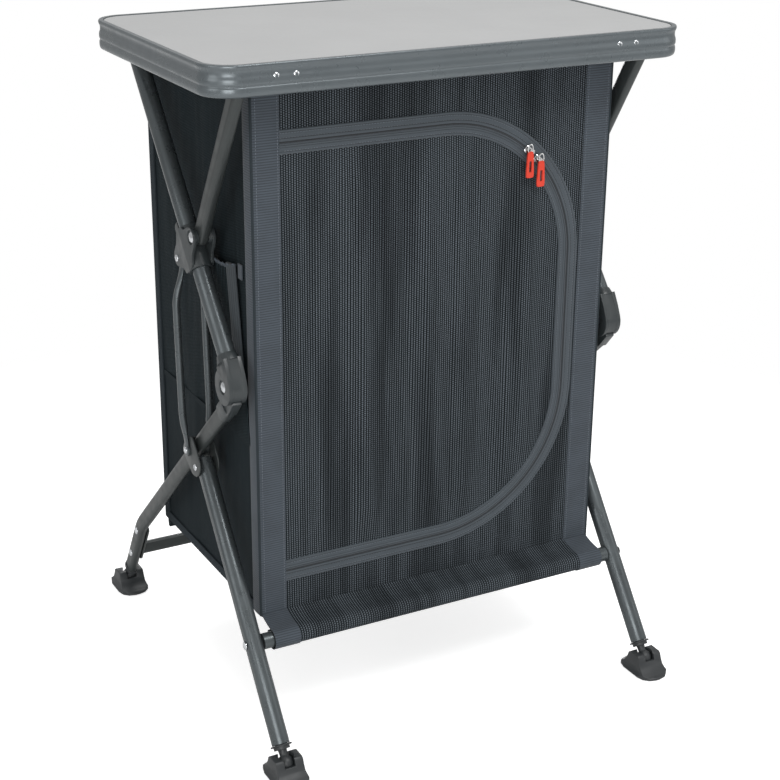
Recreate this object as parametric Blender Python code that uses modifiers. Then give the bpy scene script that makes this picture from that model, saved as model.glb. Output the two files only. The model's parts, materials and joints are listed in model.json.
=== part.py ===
"""Folding fabric camp kitchen cupboard, modelled in metres with +Z up.

Positions inside the model are measured from the middle of the table's top face: y runs to the rear and
z up. Each side frame lies in a plane of its own, and the left and right frames are alike.
"""
import math

import bpy
import bmesh
from mathutils import Matrix, Vector

# Table
TABLE_WIDTH = 0.620
TABLE_DEPTH = 0.376
TABLE_HEIGHT = 0.840
TABLE_CORNER = 0.038
RIM_HEIGHT = 0.035
RIM_WALL = 0.009
RIM_LIP = 0.006
LEDGE_REACH = 0.016
LEDGE_THICKNESS = 0.0015
TOP_THICKNESS = 0.009
TOP_DROP = 0.0008
# inward as a share of the rim's wall, down as a share of its height
RIM_FACE_SHARES = ((0.08, 0.0), (0.0, 0.023), (0.0, 0.13), (0.25, 0.24), (0.25, 0.41), (0.0, 0.53),
                   (0.0, 0.585), (0.22, 0.68), (0.2, 0.78), (0.0, 0.87), (0.08, 0.97), (0.3, 1.0), (1.0, 1.0))

# Rails under the table, with the lugs that the frames hang from
RAIL_X = 0.2216
RAIL_WIDTH = 0.032
RAIL_HEIGHT = 0.014
RAIL_WALL = 0.0015
RAIL_END_DROP = 0.020
LUG_THICKNESS = 0.002
LUG_RADIUS = 0.009
LUG_LENGTH = 0.034
TRUNNION_RADIUS = 0.0035
TRUNNION_FLARE = 0.003
TRUNNION_EXIT_SHARE = 1.1
RIM_RIVET_SPACING = 0.0234
RIM_RIVET_DROP = 0.0145
RIM_RIVET_RADIUS = 0.002
RIM_RIVET_HEAD = 0.004
RIM_RIVET_SEAT = 0.0027
RIM_SEAT_MARGIN = 0.0006

# Side frame: centre plane, tubes and the places of its pivots
FRAME_X = 0.264
TUBE_RADIUS = 0.011
OVAL_WIDTH = 0.022
OVAL_THICKNESS = 0.012
LONG_ANGLE = math.radians(50.3)
LOWER_ANGLE = math.radians(42.3)
FOOT_ANGLE = math.radians(58.7)
LEG_ANGLE = math.radians(53.1)
STRUT_ANGLE = math.radians(58.83)
HUB_Y = -0.0134
HUB_DROP = 0.2432
EAR_ARM = 0.029
HUB_TO_ELBOW = 0.1734
ELBOW_OFFSET = 0.0145
ELBOW_TO_CROSSING = 0.1646
LEG_PIN_BACK = 0.0065
LEG_PIN_OUT = 0.0265
BEND_FROM_CROSSING = 0.304
BEND_SOFTNESS = 0.016
STRUT_PIN_DROP = 0.027
BAR_END_STATION = 0.272
BAR_END_ARM = 0.020
BAR_END_COLLAR = 0.0062
BAR_END_WALL = 0.0014
HOUSING_RELIEF_START = 0.0245
BALL_HEIGHT = 0.018

# Hub that slides on the long bar
HUB_SLEEVE_RADIUS = 0.0145
HUB_SLEEVE_UP = 0.024
HUB_SLEEVE_DOWN = 0.0305
HUB_CHEEK_INNER = 0.0105
HUB_CHEEK_OUTER = 0.0140
HUB_BOSS_RADIUS = 0.009
HUB_SPACER_RADIUS = 0.006
HUB_SEAT_RADIUS = 0.0088
HUB_SEAT_DEPTH = 0.0014
# along the bar towards the table, and out to the front, as shares of the ear's arm
HUB_OUTLINE_SHARES = ((0.84, -0.30), (0.84, 0.30), (0.58, 0.46), (0.46, 0.98), (0.30, 1.27), (0.0, 1.36),
                      (-0.30, 1.27), (-0.48, 0.98), (-0.60, 0.66), (-0.80, 0.42), (-1.0, 0.34),
                      (-1.0, -0.42), (-0.62, -0.62), (-0.42, -0.98), (-0.20, -1.24), (0.10, -1.30),
                      (0.32, -1.12), (0.50, -0.62))
HUB_ROUND = 0.004
HOUSING_START = 0.010
HOUSING_END = 0.038
HOUSING_WIDTH = 0.018
HOUSING_DEPTH = 0.0215
BUTTON_LENGTH = 0.010
BUTTON_WIDTH = 0.010
BUTTON_STATION = 0.031
BUTTON_PROUD = 0.0030
BUTTON_TRAVEL = 0.0025
BUTTON_BODY = 0.0036

# Elbow
KNUCKLE_RADIUS = 0.022
KNUCKLE_HALF_WIDTH = 0.0113
TONGUE_RADIUS = 0.020
TONGUE_HALF_WIDTH = 0.006
CHEEK_TOP = math.radians(105)
HOOD_END = math.radians(170)
COLLAR_START = 0.024
COLLAR_LENGTH = 0.010
COLLAR_WALL = 0.0032
COLLAR_TAPER = 0.0022
COLLAR_END_WALL = 0.0017
LOWER_COLLAR_LENGTH = 0.022
LOWER_COLLAR_WALL = 0.002

# Crossing: bracket plates, bushes, leg pivot
BRACKET_INNER = 0.0113
BRACKET_OUTER = 0.0132
# along the lower bar, and out to its underside, as shares of the leg pin's offset
BRACKET_SHARES = ((-0.92, -0.40), (-0.96, 0.40), (-0.90, 1.02), (-0.72, 1.30), (-0.36, 1.44), (0.05, 1.40),
                  (0.40, 1.10), (0.58, 0.50), (0.70, -0.10), (0.50, -0.44))
BRACKET_ROUND = 0.005
BUSH_RADIUS = 0.0112
BUSH_CROWN = 0.002
LEG_TOP = 0.009

# Pins and rivets
PIN_RADIUS = 0.003
PIN_HEAD_RADIUS = 0.0068
PIN_HEAD_HEIGHT = 0.0020
SMALL_PIN_RADIUS = 0.0022
SMALL_HEAD_RADIUS = 0.0050
SMALL_HEAD_HEIGHT = 0.0016

# Link rods
ROD_X = 0.0182
ROD_TOP_X = 0.0086
ROD_RADIUS = 0.0045
ROD_EYE_RADIUS = 0.0080
ROD_EYE_THICKNESS = 0.0030
ROD_FLAT = 0.024
ROD_CRANK_START = 0.018
ROD_CRANK_END = 0.040
ROD_SLIM_SHARE = 0.55

# Feet
ADJUSTER_RADIUS = 0.0134
ADJUSTER_RING_RADIUS = 0.0100
ADJUSTER_LENGTH = 0.006
ADJUSTER_FLANGE = 0.0022
ADJUSTER_STEM_RADIUS = 0.007
ADJUSTER_STEM_LENGTH = 0.038
ADJUSTER_TRAVEL = 0.020
NECK_RADIUS = 0.0055
NECK_LENGTH = 0.016
BALL_RADIUS = 0.0100
PLUG_LENGTH = 0.007
PLUG_WALL = 0.0008
SHOE_LENGTH = 0.068
SHOE_WIDTH = 0.044
SHOE_HEIGHT = 0.028
SHOE_BASE = 0.004
SHOE_ROUND = 0.0012
# along the shoe as a share of half its length, up as a share of its height
SHOE_SIDE_SHARES = ((-1.0, 0.10), (-0.84, 0.19), (-0.66, 0.30), (-0.51, 0.46), (-0.41, 0.68), (-0.35, 0.90),
                    (-0.24, 1.0), (0.24, 1.0), (0.35, 0.90), (0.41, 0.68), (0.51, 0.46), (0.66, 0.30),
                    (0.84, 0.19), (1.0, 0.10))
# out from the middle as a share of half the shoe's width, up as a share of its height
SHOE_FRONT_SHARES = ((0.97, 0.12), (0.88, 0.24), (0.82, 0.42), (0.80, 0.98))

# Stretchers
FRONT_STRETCHER_RADIUS = 0.010
FRONT_STRETCHER_STATION = 0.228
FRONT_PLUG_DEPTH = 0.014
REAR_STRETCHER_HEIGHT = 0.017
REAR_STRETCHER_THICKNESS = 0.012
REAR_STRETCHER_STATION = 0.062
REAR_PLATE_START = 0.004
REAR_PLATE_END = 0.078
REAR_PLATE_WIDTH = 0.020
REAR_PLATE_THICKNESS = 0.0025
REAR_RIVET_INSET = 0.009

# Fabric cabinet
CABINET_X = 0.240
CABINET_FRONT = 0.1305
CABINET_REAR = 0.187
CABINET_BOTTOM_DROP = 0.687
CLOTH = 0.002
BAND_WIDTH = 0.034
SIDE_FOLD = 0.0022
REAR_FOLD = 0.0025
DOOR_LEFT = 0.201
DOOR_RIGHT = 0.202
DOOR_TOP_DROP = 0.101
DOOR_BOTTOM_DROP = 0.632
DOOR_CORNER_RADIUS = 0.179
DOOR_FOLD = 0.0028
ZIP_WIDTH = 0.015
ZIP_THICKNESS = 0.0014
SEAM_GAP = 0.0012
BOARD_THICKNESS = 0.004
BOARD_MARGIN = 0.0032
MIDDLE_SHELF_DROP = 0.469
UPPER_SHELF_DROP = 0.252
FLAP_SLEEVE_GAP = 0.0006
FLAP_CLOTH = 0.0016
POCKET_TOP_FRONT = 0.083
POCKET_LOW_FRONT = 0.114
POCKET_REAR = 0.008
POCKET_TOP_DROP = 0.250
POCKET_BOTTOM_DROP = 0.466
POCKET_BULGE = 0.0068
POCKET_CLOTH = 0.0016

# Zip sliders and pulls
SLIDER_LENGTH = 0.012
SLIDER_WIDTH = 0.009
SLIDER_THICKNESS = 0.0036
UPPER_SLIDER_ANGLE = math.radians(50.0)
LOWER_SLIDER_ANGLE = math.radians(44.0)
SLIDER_BRIDGE = 0.0040
SLIDER_BRIDGE_WALL = 0.0011
PULL_LENGTH = 0.033
PULL_WIDTH = 0.012
PULL_THICKNESS = 0.0030
PULL_NECK = 0.0025
PULL_RING = 0.0027
PULL_HOLE = 0.0016
PULL_WINDOW = 0.0024

# Facets of round pieces
PIN_SIDES = 8
TUBE_SIDES = 16

# Fits
CLEARANCE = 0.0003
WELD = 0.00002
FINE_WELD = 0.000001
OVERRUN = 0.002
EDGE = 0.0006
FINE_EDGE = 0.0004


# Scene
for old in list(bpy.data.objects):
    bpy.data.objects.remove(old, do_unlink=True)

parts = bpy.data.collections.new("camp_kitchen_cupboard")
bpy.context.scene.collection.children.link(parts)


def material(name, colour, roughness, metallic):
    made = bpy.data.materials.new(name)
    made.use_nodes = True
    shader = made.node_tree.nodes["Principled BSDF"]
    shader.inputs["Base Color"].default_value = (*colour, 1.0)
    shader.inputs["Roughness"].default_value = roughness
    shader.inputs["Metallic"].default_value = metallic
    return made


TOP_GREY = material("pale_laminate", (0.56, 0.56, 0.555), 0.55, 0.0)
RIM_GREY = material("rim_grey", (0.060, 0.066, 0.072), 0.45, 0.0)
FRAME_GREY = material("frame_paint", (0.085, 0.088, 0.092), 0.42, 0.5)
BLACK = material("black_plastic", (0.014, 0.014, 0.016), 0.45, 0.0)
STEEL = material("rivet_steel", (0.60, 0.60, 0.60), 0.28, 1.0)
RED = material("red_plastic", (0.62, 0.035, 0.012), 0.40, 0.0)
BUTTON_RED = material("button_red", (0.16, 0.012, 0.016), 0.45, 0.0)
MESH_GREY = material("mesh_cloth", (0.030, 0.032, 0.038), 0.85, 0.0)
BAND_GREY = material("band_cloth", (0.075, 0.088, 0.115), 0.85, 0.0)
BOARD_GREY = material("board_cloth", (0.028, 0.029, 0.032), 0.85, 0.0)
ZIP_GREY = material("zip_tape", (0.045, 0.048, 0.056), 0.75, 0.0)
ZINC = material("slider_zinc", (0.66, 0.66, 0.67), 0.25, 1.0)


# Working shapes
def evaluated(obj):
    bpy.context.view_layer.update()
    graph = bpy.context.evaluated_depsgraph_get()
    return bpy.data.meshes.new_from_object(obj.evaluated_get(graph))


def tidied(mesh, reach=None):
    work = bmesh.new()
    work.from_mesh(mesh)
    bmesh.ops.remove_doubles(work, verts=work.verts, dist=WELD if reach is None else reach)
    bmesh.ops.recalc_face_normals(work, faces=work.faces)
    work.to_mesh(mesh)
    work.free()
    return mesh


def shape(mesh):
    made = bpy.data.objects.new("shape", mesh)
    bpy.context.scene.collection.objects.link(made)
    return made


def discard(obj):
    data = obj.data
    bpy.data.objects.remove(obj, do_unlink=True)
    if isinstance(data, bpy.types.Mesh):
        bpy.data.meshes.remove(data)
    else:
        bpy.data.curves.remove(data)


def side_plane(point=(0.0, 0.0), angle=0.0, x=0.0):
    """Frame whose a axis runs at the angle in the y-z plane, b square to it, and c along x."""
    cos_a, sin_a = math.cos(angle), math.sin(angle)
    return Matrix(((0, 0, 1, x), (cos_a, -sin_a, 0, point[0]), (sin_a, cos_a, 0, point[1]), (0, 0, 0, 1)))


ALONG_A = Matrix.Rotation(math.radians(90), 4, "Y")
FLAT = Matrix.Identity(4)


def plate(outline, thickness, matrix, rounding=0.0, holes=(), steps=1):
    curve = bpy.data.curves.new("outline", "CURVE")
    curve.dimensions = "2D"
    curve.fill_mode = "BOTH"
    curve.extrude = thickness / 2 - rounding
    curve.bevel_depth = rounding
    curve.bevel_resolution = steps - 1
    curve.offset = -rounding
    for ring in (outline, *holes):
        spline = curve.splines.new("POLY")
        spline.points.add(len(ring) - 1)
        for point, (a, b) in zip(spline.points, ring):
            point.co = (a, b, 0, 1)
        spline.use_cyclic_u = True
    rough = shape(curve)
    mesh = tidied(evaluated(rough))
    discard(rough)
    mesh.transform(matrix)
    return shape(mesh)


def cylinder(radius, length, matrix, sides=16, top_radius=None):
    work = bmesh.new()
    bmesh.ops.create_cone(work, cap_ends=True, cap_tris=False, segments=sides, radius1=radius,
                          radius2=radius if top_radius is None else top_radius, depth=length)
    mesh = bpy.data.meshes.new("cylinder")
    work.to_mesh(mesh)
    work.free()
    mesh.transform(matrix)
    return shape(mesh)


def bar(radius, start, end, frame, across=0.0, sides=16, top_radius=None):
    """Round bar along a frame's a axis, from start to end, at a distance across it."""
    middle = Matrix.Translation(Vector(((start + end) / 2, across, 0)))
    return cylinder(radius, end - start, frame @ middle @ ALONG_A, sides, top_radius)


def box(low, high, matrix=FLAT):
    work = bmesh.new()
    bmesh.ops.create_cube(work, size=1)
    size = [h - l for l, h in zip(low, high)]
    middle = [(h + l) / 2 for l, h in zip(low, high)]
    bmesh.ops.scale(work, vec=size, verts=work.verts)
    bmesh.ops.translate(work, vec=middle, verts=work.verts)
    mesh = bpy.data.meshes.new("box")
    work.to_mesh(mesh)
    work.free()
    mesh.transform(matrix)
    return shape(mesh)


def ball(radius, matrix, sides=14, rings=9):
    work = bmesh.new()
    bmesh.ops.create_uvsphere(work, u_segments=sides, v_segments=rings, radius=radius)
    mesh = bpy.data.meshes.new("ball")
    work.to_mesh(mesh)
    work.free()
    mesh.transform(matrix)
    return shape(mesh)


def turned(profile, matrix, steps=12):
    """Turned solid from (radius, height) pairs that run down its outer side."""
    mesh = bpy.data.meshes.new("profile")
    mesh.from_pydata([(r, 0, h) for r, h in profile], [(i, i + 1) for i in range(len(profile) - 1)], [])
    rough = shape(mesh)
    screw = rough.modifiers.new("turn", "SCREW")
    screw.steps = screw.render_steps = steps
    screw.use_merge_vertices = True
    screw.merge_threshold = WELD
    made = tidied(evaluated(rough))
    discard(rough)
    made.transform(matrix)
    return shape(made)


def boolean(base, others, operation):
    for other in others:
        step = base.modifiers.new("step", "BOOLEAN")
        step.operation = operation
        step.solver = "EXACT"
        step.object = other
    mesh = evaluated(base)
    base.modifiers.clear()
    old = base.data
    base.data = mesh
    bpy.data.meshes.remove(old)
    for other in others:
        discard(other)
    tidied(mesh, FINE_WELD)
    return base


def union(base, *others):
    return boolean(base, others, "UNION")


def cut(base, *others):
    return boolean(base, others, "DIFFERENCE")


def common(base, *others):
    return boolean(base, others, "INTERSECT")


# Outlines
def circle(a, b, radius, steps=16):
    return [(a + radius * math.cos(2 * math.pi * i / steps), b + radius * math.sin(2 * math.pi * i / steps))
            for i in range(steps)]


def arc(a, b, radius, start, end, steps):
    return [(a + radius * math.cos(start + (end - start) * i / steps),
             b + radius * math.sin(start + (end - start) * i / steps)) for i in range(steps + 1)]


def rounded(points, radius, steps=3):
    """Polygon with its corners rounded, by less where a side is short."""
    ring = []
    count = len(points)
    for i in range(count):
        here = Vector(points[i])
        before = Vector(points[i - 1]) - here
        after = Vector(points[(i + 1) % count]) - here
        half = before.angle(after) / 2
        reach = min(radius / math.tan(half), before.length * 0.49, after.length * 0.49)
        fitted = reach * math.tan(half)
        centre = here + (before.normalized() + after.normalized()).normalized() * (fitted / math.sin(half))
        start = here + before.normalized() * reach - centre
        end = here + after.normalized() * reach - centre
        sweep = start.angle_signed(end)
        turn = math.atan2(start.y, start.x)
        for k in range(steps + 1):
            angle = turn - sweep * k / steps
            ring.append((centre.x + fitted * math.cos(angle), centre.y + fitted * math.sin(angle)))
    return ring


def hull(circles, steps=16):
    """Outline drawn tight round some circles, each as (a, b, radius)."""
    points = sorted(p for a, b, r in circles for p in circle(a, b, r, steps))

    def chain(run):
        kept = []
        for p in run:
            while len(kept) > 1 and ((kept[-1][0] - kept[-2][0]) * (p[1] - kept[-2][1])
                                     - (kept[-1][1] - kept[-2][1]) * (p[0] - kept[-2][0])) <= 0:
                kept.pop()
            kept.append(p)
        return kept[:-1]

    return chain(points) + chain(points[::-1])


def stadium(length, width, steps=6):
    """Long outline with round ends, whose ends' centres are the length apart, from 0 along a."""
    half = width / 2
    return (arc(0, 0, half, math.pi / 2, 3 * math.pi / 2, steps)
            + arc(length, 0, half, -math.pi / 2, math.pi / 2, steps))


def rectangle(width, height, a=0.0, b=0.0):
    return [(a - width / 2, b - height / 2), (a + width / 2, b - height / 2),
            (a + width / 2, b + height / 2), (a - width / 2, b + height / 2)]


def scaled(shares, size_a, size_b):
    return [(a * size_a, b * size_b) for a, b in shares]


# Pivots in the side plane, as (y, z) from the middle of the table's top
def heading(angle):
    return Vector((math.cos(angle), math.sin(angle)))


LONG_DIR = heading(LONG_ANGLE)
LONG_OUT = heading(LONG_ANGLE + math.pi / 2)
LOWER_DIR = heading(-LOWER_ANGLE)
LOWER_OUT = heading(-LOWER_ANGLE - math.pi / 2)
FOOT_DIR = heading(-FOOT_ANGLE)
LEG_DIR = heading(math.pi + LEG_ANGLE)
HUB = Vector((HUB_Y, -HUB_DROP))
FRONT_EAR = HUB + LONG_OUT * EAR_ARM
ROD_EAR = HUB - LONG_OUT * EAR_ARM
ELBOW = HUB - LONG_DIR * HUB_TO_ELBOW - LONG_OUT * ELBOW_OFFSET
CROSSING = ELBOW + LOWER_OUT * ELBOW_OFFSET + LOWER_DIR * ELBOW_TO_CROSSING
LEG_PIN = CROSSING - LOWER_DIR * LEG_PIN_BACK + LOWER_OUT * LEG_PIN_OUT
BEND = CROSSING + LOWER_DIR * BEND_FROM_CROSSING
BALL_Z = -TABLE_HEIGHT + BALL_HEIGHT
FOOT_RUN = (BEND.y - BALL_Z) / math.sin(FOOT_ANGLE)
REAR_BALL = BEND + FOOT_DIR * FOOT_RUN
LEG_RUN = (LEG_PIN.y - BALL_Z) / math.sin(LEG_ANGLE)
FRONT_BALL = LEG_PIN + LEG_DIR * LEG_RUN
STRUT_RUN = (-STRUT_PIN_DROP - FRONT_EAR.y) / math.sin(STRUT_ANGLE)
STRUT_PIN = FRONT_EAR + heading(math.pi - STRUT_ANGLE) * STRUT_RUN
BAR_END_PIN = HUB + LONG_DIR * BAR_END_STATION + LONG_OUT * BAR_END_ARM
ROD_VECTOR = CROSSING - ROD_EAR
ROD_RUN = ROD_VECTOR.length
ROD_ANGLE = math.atan2(ROD_VECTOR.y, ROD_VECTOR.x)
FRONT_STRETCHER_AT = LEG_PIN + LEG_DIR * FRONT_STRETCHER_STATION
REAR_STRETCHER_AT = BEND + FOOT_DIR * REAR_STRETCHER_STATION
Y_SHIFT = -(FRONT_BALL.x + REAR_BALL.x) / 2

LONG_FRAME = side_plane(HUB, LONG_ANGLE)
ELBOW_LONG_FRAME = side_plane(ELBOW, LONG_ANGLE)
LOWER_FRAME = side_plane(ELBOW, -LOWER_ANGLE)
CROSSING_FRAME = side_plane(CROSSING, -LOWER_ANGLE)
FOOT_FRAME = side_plane(BEND, -FOOT_ANGLE)
LEG_FRAME = side_plane(LEG_PIN, math.pi + LEG_ANGLE)
STRUT_FRAME = side_plane(STRUT_PIN, -STRUT_ANGLE)
ROD_FRAME = side_plane(ROD_EAR, ROD_ANGLE)
TUBE_BORE = TUBE_RADIUS + CLEARANCE
PIN_BORE = PIN_RADIUS + CLEARANCE
SMALL_BORE = SMALL_PIN_RADIUS + CLEARANCE


# Joints: an empty at each pivot, with the pieces that move about it under it
def empty(name, parent, x, y, z):
    made = bpy.data.objects.new(name, None)
    made.empty_display_size = PIN_HEAD_RADIUS
    parts.objects.link(made)
    made["at"] = (x, y, z)
    if parent is None:
        made.location = (x, y, z)
    else:
        made.parent = parent
        base = parent["at"]
        made.location = (x - base[0], y - base[1], z - base[2])
    return made


origin = empty("table_frame", None, 0.0, Y_SHIFT, TABLE_HEIGHT)
origin["at"] = (0.0, 0.0, 0.0)
strut_joint = empty("strut_joint", origin, 0.0, *STRUT_PIN)
hub_joint = empty("hub_joint", strut_joint, 0.0, *FRONT_EAR)
slide_joint = empty("bar_slide", hub_joint, 0.0, *HUB)
elbow_joint = empty("elbow_joint", slide_joint, 0.0, *ELBOW)
leg_joint = empty("leg_joint", elbow_joint, 0.0, *LEG_PIN)
rod_joint = empty("rod_joint", hub_joint, 0.0, *ROD_EAR)


def keep(name, item, look, joint, smooth=True):
    """Names a finished shape and hangs it on its joint, with its origin there."""
    base = joint["at"]
    item.data.transform(Matrix.Translation(Vector((-base[0], -base[1], -base[2]))))
    item.data.name = name
    item.data.materials.clear()
    item.data.materials.append(look)
    if smooth:
        item.data.shade_smooth()
        item.data.set_sharp_from_angle(angle=math.radians(35))
    item.name = name
    item.parent = joint
    bpy.context.scene.collection.objects.unlink(item)
    parts.objects.link(item)
    return item


def keep_pair(name, item, look, joint, x=None):
    """The left and right pieces of a frame share one mesh."""
    reach = FRAME_X if x is None else x
    left = keep("left_" + name, item, look, joint)
    left.location = (-reach, 0.0, 0.0)
    right = bpy.data.objects.new("right_" + name, left.data)
    right.parent = joint
    right.location = (reach, 0.0, 0.0)
    parts.objects.link(right)
    return left, right



def rivet(frame, a, b, low, high, shaft=PIN_RADIUS, head=PIN_HEAD_RADIUS, height=PIN_HEAD_HEIGHT,
          steps=PIN_SIDES):
    """Rivet across a side frame whose heads sit on the faces at low and high along x."""
    profile = [(0, high + height), (head * 0.7, high + height * 0.7), (head, high), (shaft, high),
               (shaft, low), (head, low), (head * 0.7, low - height * 0.7), (0, low - height)]
    return turned(profile, frame @ Matrix.Translation(Vector((a, b, 0))), steps)


def bore(frame, a, b, radius, low, high, sides=16):
    middle = Matrix.Translation(Vector((a, b, (low + high) / 2)))
    return cylinder(radius, high - low, frame @ middle, sides)


# Table rim: its section swept round the table's edge
def table_outline(inset, steps=6):
    half_x = TABLE_WIDTH / 2 - inset
    half_y = TABLE_DEPTH / 2 - inset
    radius = TABLE_CORNER - inset
    ring = []
    for sign_x, sign_y, start in ((1, 1, 0), (-1, 1, 90), (-1, -1, 180), (1, -1, 270)):
        ring += arc(sign_x * (half_x - radius), sign_y * (half_y - radius), radius,
                    math.radians(start), math.radians(start + 90), steps)
    return ring


LEDGE_TOP = TOP_DROP + TOP_THICKNESS + CLEARANCE
LEDGE_BOTTOM = LEDGE_TOP + LEDGE_THICKNESS


def table_rim():
    section = scaled(RIM_FACE_SHARES, RIM_WALL, RIM_HEIGHT)
    section += [(RIM_WALL, LEDGE_BOTTOM), (LEDGE_REACH, LEDGE_BOTTOM), (LEDGE_REACH, LEDGE_TOP),
                (RIM_LIP, LEDGE_TOP), (RIM_LIP, 0.0)]
    profile = bpy.data.curves.new("rim_section", "CURVE")
    profile.dimensions = "2D"
    profile.fill_mode = "NONE"
    spline = profile.splines.new("POLY")
    spline.points.add(len(section) - 1)
    for point, (inward, down) in zip(spline.points, section):
        point.co = (inward, -down, 0, 1)
    spline.use_cyclic_u = True
    profile_object = shape(profile)
    path = bpy.data.curves.new("rim_path", "CURVE")
    path.dimensions = "2D"
    path.fill_mode = "NONE"
    path.bevel_mode = "OBJECT"
    path.bevel_object = profile_object
    spline = path.splines.new("POLY")
    ring = table_outline(0.0)
    spline.points.add(len(ring) - 1)
    for point, (x, y) in zip(spline.points, ring):
        point.co = (x, y, 0, 1)
    spline.use_cyclic_u = True
    rough = shape(path)
    mesh = tidied(evaluated(rough))
    discard(rough)
    discard(profile_object)
    return shape(mesh)


def rim_rivet_places():
    for side in (-1, 1):
        for end in (-1, 1):
            for step in (-1, 1):
                yield side * RAIL_X + step * RIM_RIVET_SPACING / 2, end


def facing(x, end):
    """Frame at a rim rivet whose c axis points out of the table."""
    turn = Matrix.Rotation(math.radians(-90 * end), 4, "X")
    return Matrix.Translation(Vector((x, end * TABLE_DEPTH / 2, -RIM_RIVET_DROP))) @ turn


RAIL_END = TABLE_DEPTH / 2 - RIM_WALL - CLEARANCE
RAIL_TOP = LEDGE_BOTTOM + CLEARANCE

rim = table_rim()
seat_radius = RIM_RIVET_HEAD + RIM_SEAT_MARGIN
rim = cut(rim, *[cylinder(seat_radius, 2 * RIM_RIVET_SEAT, facing(rivet_x, rivet_end), 10)
                 for rivet_x, rivet_end in rim_rivet_places()])
rim_rivets = []
for rivet_x, rivet_end in rim_rivet_places():
    head = -RIM_RIVET_SEAT - CLEARANCE
    tail = -RIM_WALL - RAIL_WALL - 2 * CLEARANCE
    tall = RIM_RIVET_SEAT * 0.75
    rim_rivets.append(turned([(0, head + tall), (RIM_RIVET_HEAD * 0.7, head + tall * 0.7),
                              (RIM_RIVET_HEAD, head), (RIM_RIVET_RADIUS, head), (RIM_RIVET_RADIUS, tail),
                              (0, tail)],
                             facing(rivet_x, rivet_end), PIN_SIDES))
keep("table_rim", union(rim, *rim_rivets), RIM_GREY, origin)

panel = plate(table_outline(RIM_LIP + CLEARANCE), TOP_THICKNESS,
              Matrix.Translation(Vector((0, 0, -TOP_DROP - TOP_THICKNESS / 2))), EDGE)
keep("table_top", panel, TOP_GREY, origin, smooth=False)


# Rails: folded channels with end flanges and hinge lugs; the long bars' trunnions drop out of open lugs
def under_rail(side):
    half = RAIL_WIDTH / 2
    low = RAIL_TOP + RAIL_HEIGHT
    section = [(-half, -low), (-half, -RAIL_TOP), (half, -RAIL_TOP), (half, -low), (half - RAIL_WALL, -low),
               (half - RAIL_WALL, -RAIL_TOP - RAIL_WALL), (-half + RAIL_WALL, -RAIL_TOP - RAIL_WALL),
               (-half + RAIL_WALL, -low)]
    upright = Matrix(((1, 0, 0, side * RAIL_X), (0, 0, -1, 0), (0, 1, 0, 0), (0, 0, 0, 1)))
    rail = plate(section, 2 * RAIL_END, upright)
    pieces = []
    for end in (-1, 1):
        pieces.append(box((side * RAIL_X - half, min(end * RAIL_END, end * (RAIL_END - RAIL_WALL)),
                           -RAIL_TOP - RAIL_END_DROP),
                          (side * RAIL_X + half, max(end * RAIL_END, end * (RAIL_END - RAIL_WALL)),
                           -RAIL_TOP)))
    lug_middle = OVAL_THICKNESS / 2 + 2 * CLEARANCE + LUG_THICKNESS / 2
    reach = FRAME_X + lug_middle + LUG_THICKNESS / 2
    for pin in (STRUT_PIN, BAR_END_PIN):
        inner = RAIL_X + half - RAIL_WALL
        pieces.append(box((min(side * inner, side * reach), pin.x - LUG_LENGTH / 2, -RAIL_TOP - RAIL_WALL),
                          (max(side * inner, side * reach), pin.x + LUG_LENGTH / 2, -RAIL_TOP)))
        top = -RAIL_TOP - RAIL_WALL / 2
        outline = hull([(pin.x, pin.y, LUG_RADIUS), (pin.x - LUG_LENGTH / 3, top, FINE_EDGE),
                        (pin.x + LUG_LENGTH / 3, top, FINE_EDGE)], 12)
        for cheek in (-1, 1):
            pieces.append(plate(outline, LUG_THICKNESS, side_plane(x=side * FRAME_X + cheek * lug_middle)))
    lug_outer = lug_middle + LUG_THICKNESS / 2
    pieces.append(rivet(side_plane(STRUT_PIN, x=side * FRAME_X), 0, 0, -lug_outer, lug_outer,
                        head=SMALL_HEAD_RADIUS, height=SMALL_HEAD_HEIGHT))
    rail = union(rail, *pieces)
    slot = hull([(0, 0, TRUNNION_RADIUS + CLEARANCE),
                 (LUG_LENGTH, -LUG_LENGTH * TRUNNION_EXIT_SHARE, TRUNNION_RADIUS + TRUNNION_FLARE)], 12)
    cutters = [plate(slot, 2 * KNUCKLE_RADIUS, side_plane(BAR_END_PIN, x=side * FRAME_X))]
    for step in (-1, 1):
        for end in (-1, 1):
            spot = facing(side * RAIL_X + step * RIM_RIVET_SPACING / 2, end)
            cutters.append(cylinder(RIM_RIVET_RADIUS + CLEARANCE, 4 * RIM_WALL, spot, PIN_SIDES))
    return cut(rail, *cutters)


for side_name, side_sign in (("left", -1), ("right", 1)):
    keep(side_name + "_under_rail", under_rail(side_sign), FRAME_GREY, origin, smooth=False)
lug_face = OVAL_THICKNESS / 2 + 2 * CLEARANCE + LUG_THICKNESS

# Struts: flat-oval bars with round ends
strut = plate(stadium(STRUT_RUN, OVAL_WIDTH), OVAL_THICKNESS, STRUT_FRAME, OVAL_THICKNESS * 0.3, steps=2)
strut = cut(strut, bore(STRUT_FRAME, 0, 0, PIN_BORE, -OVAL_WIDTH, OVAL_WIDTH, PIN_SIDES),
            bore(STRUT_FRAME, STRUT_RUN, 0, PIN_BORE, -OVAL_WIDTH, OVAL_WIDTH, PIN_SIDES))
keep_pair("strut", strut, FRAME_GREY, strut_joint)


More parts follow.
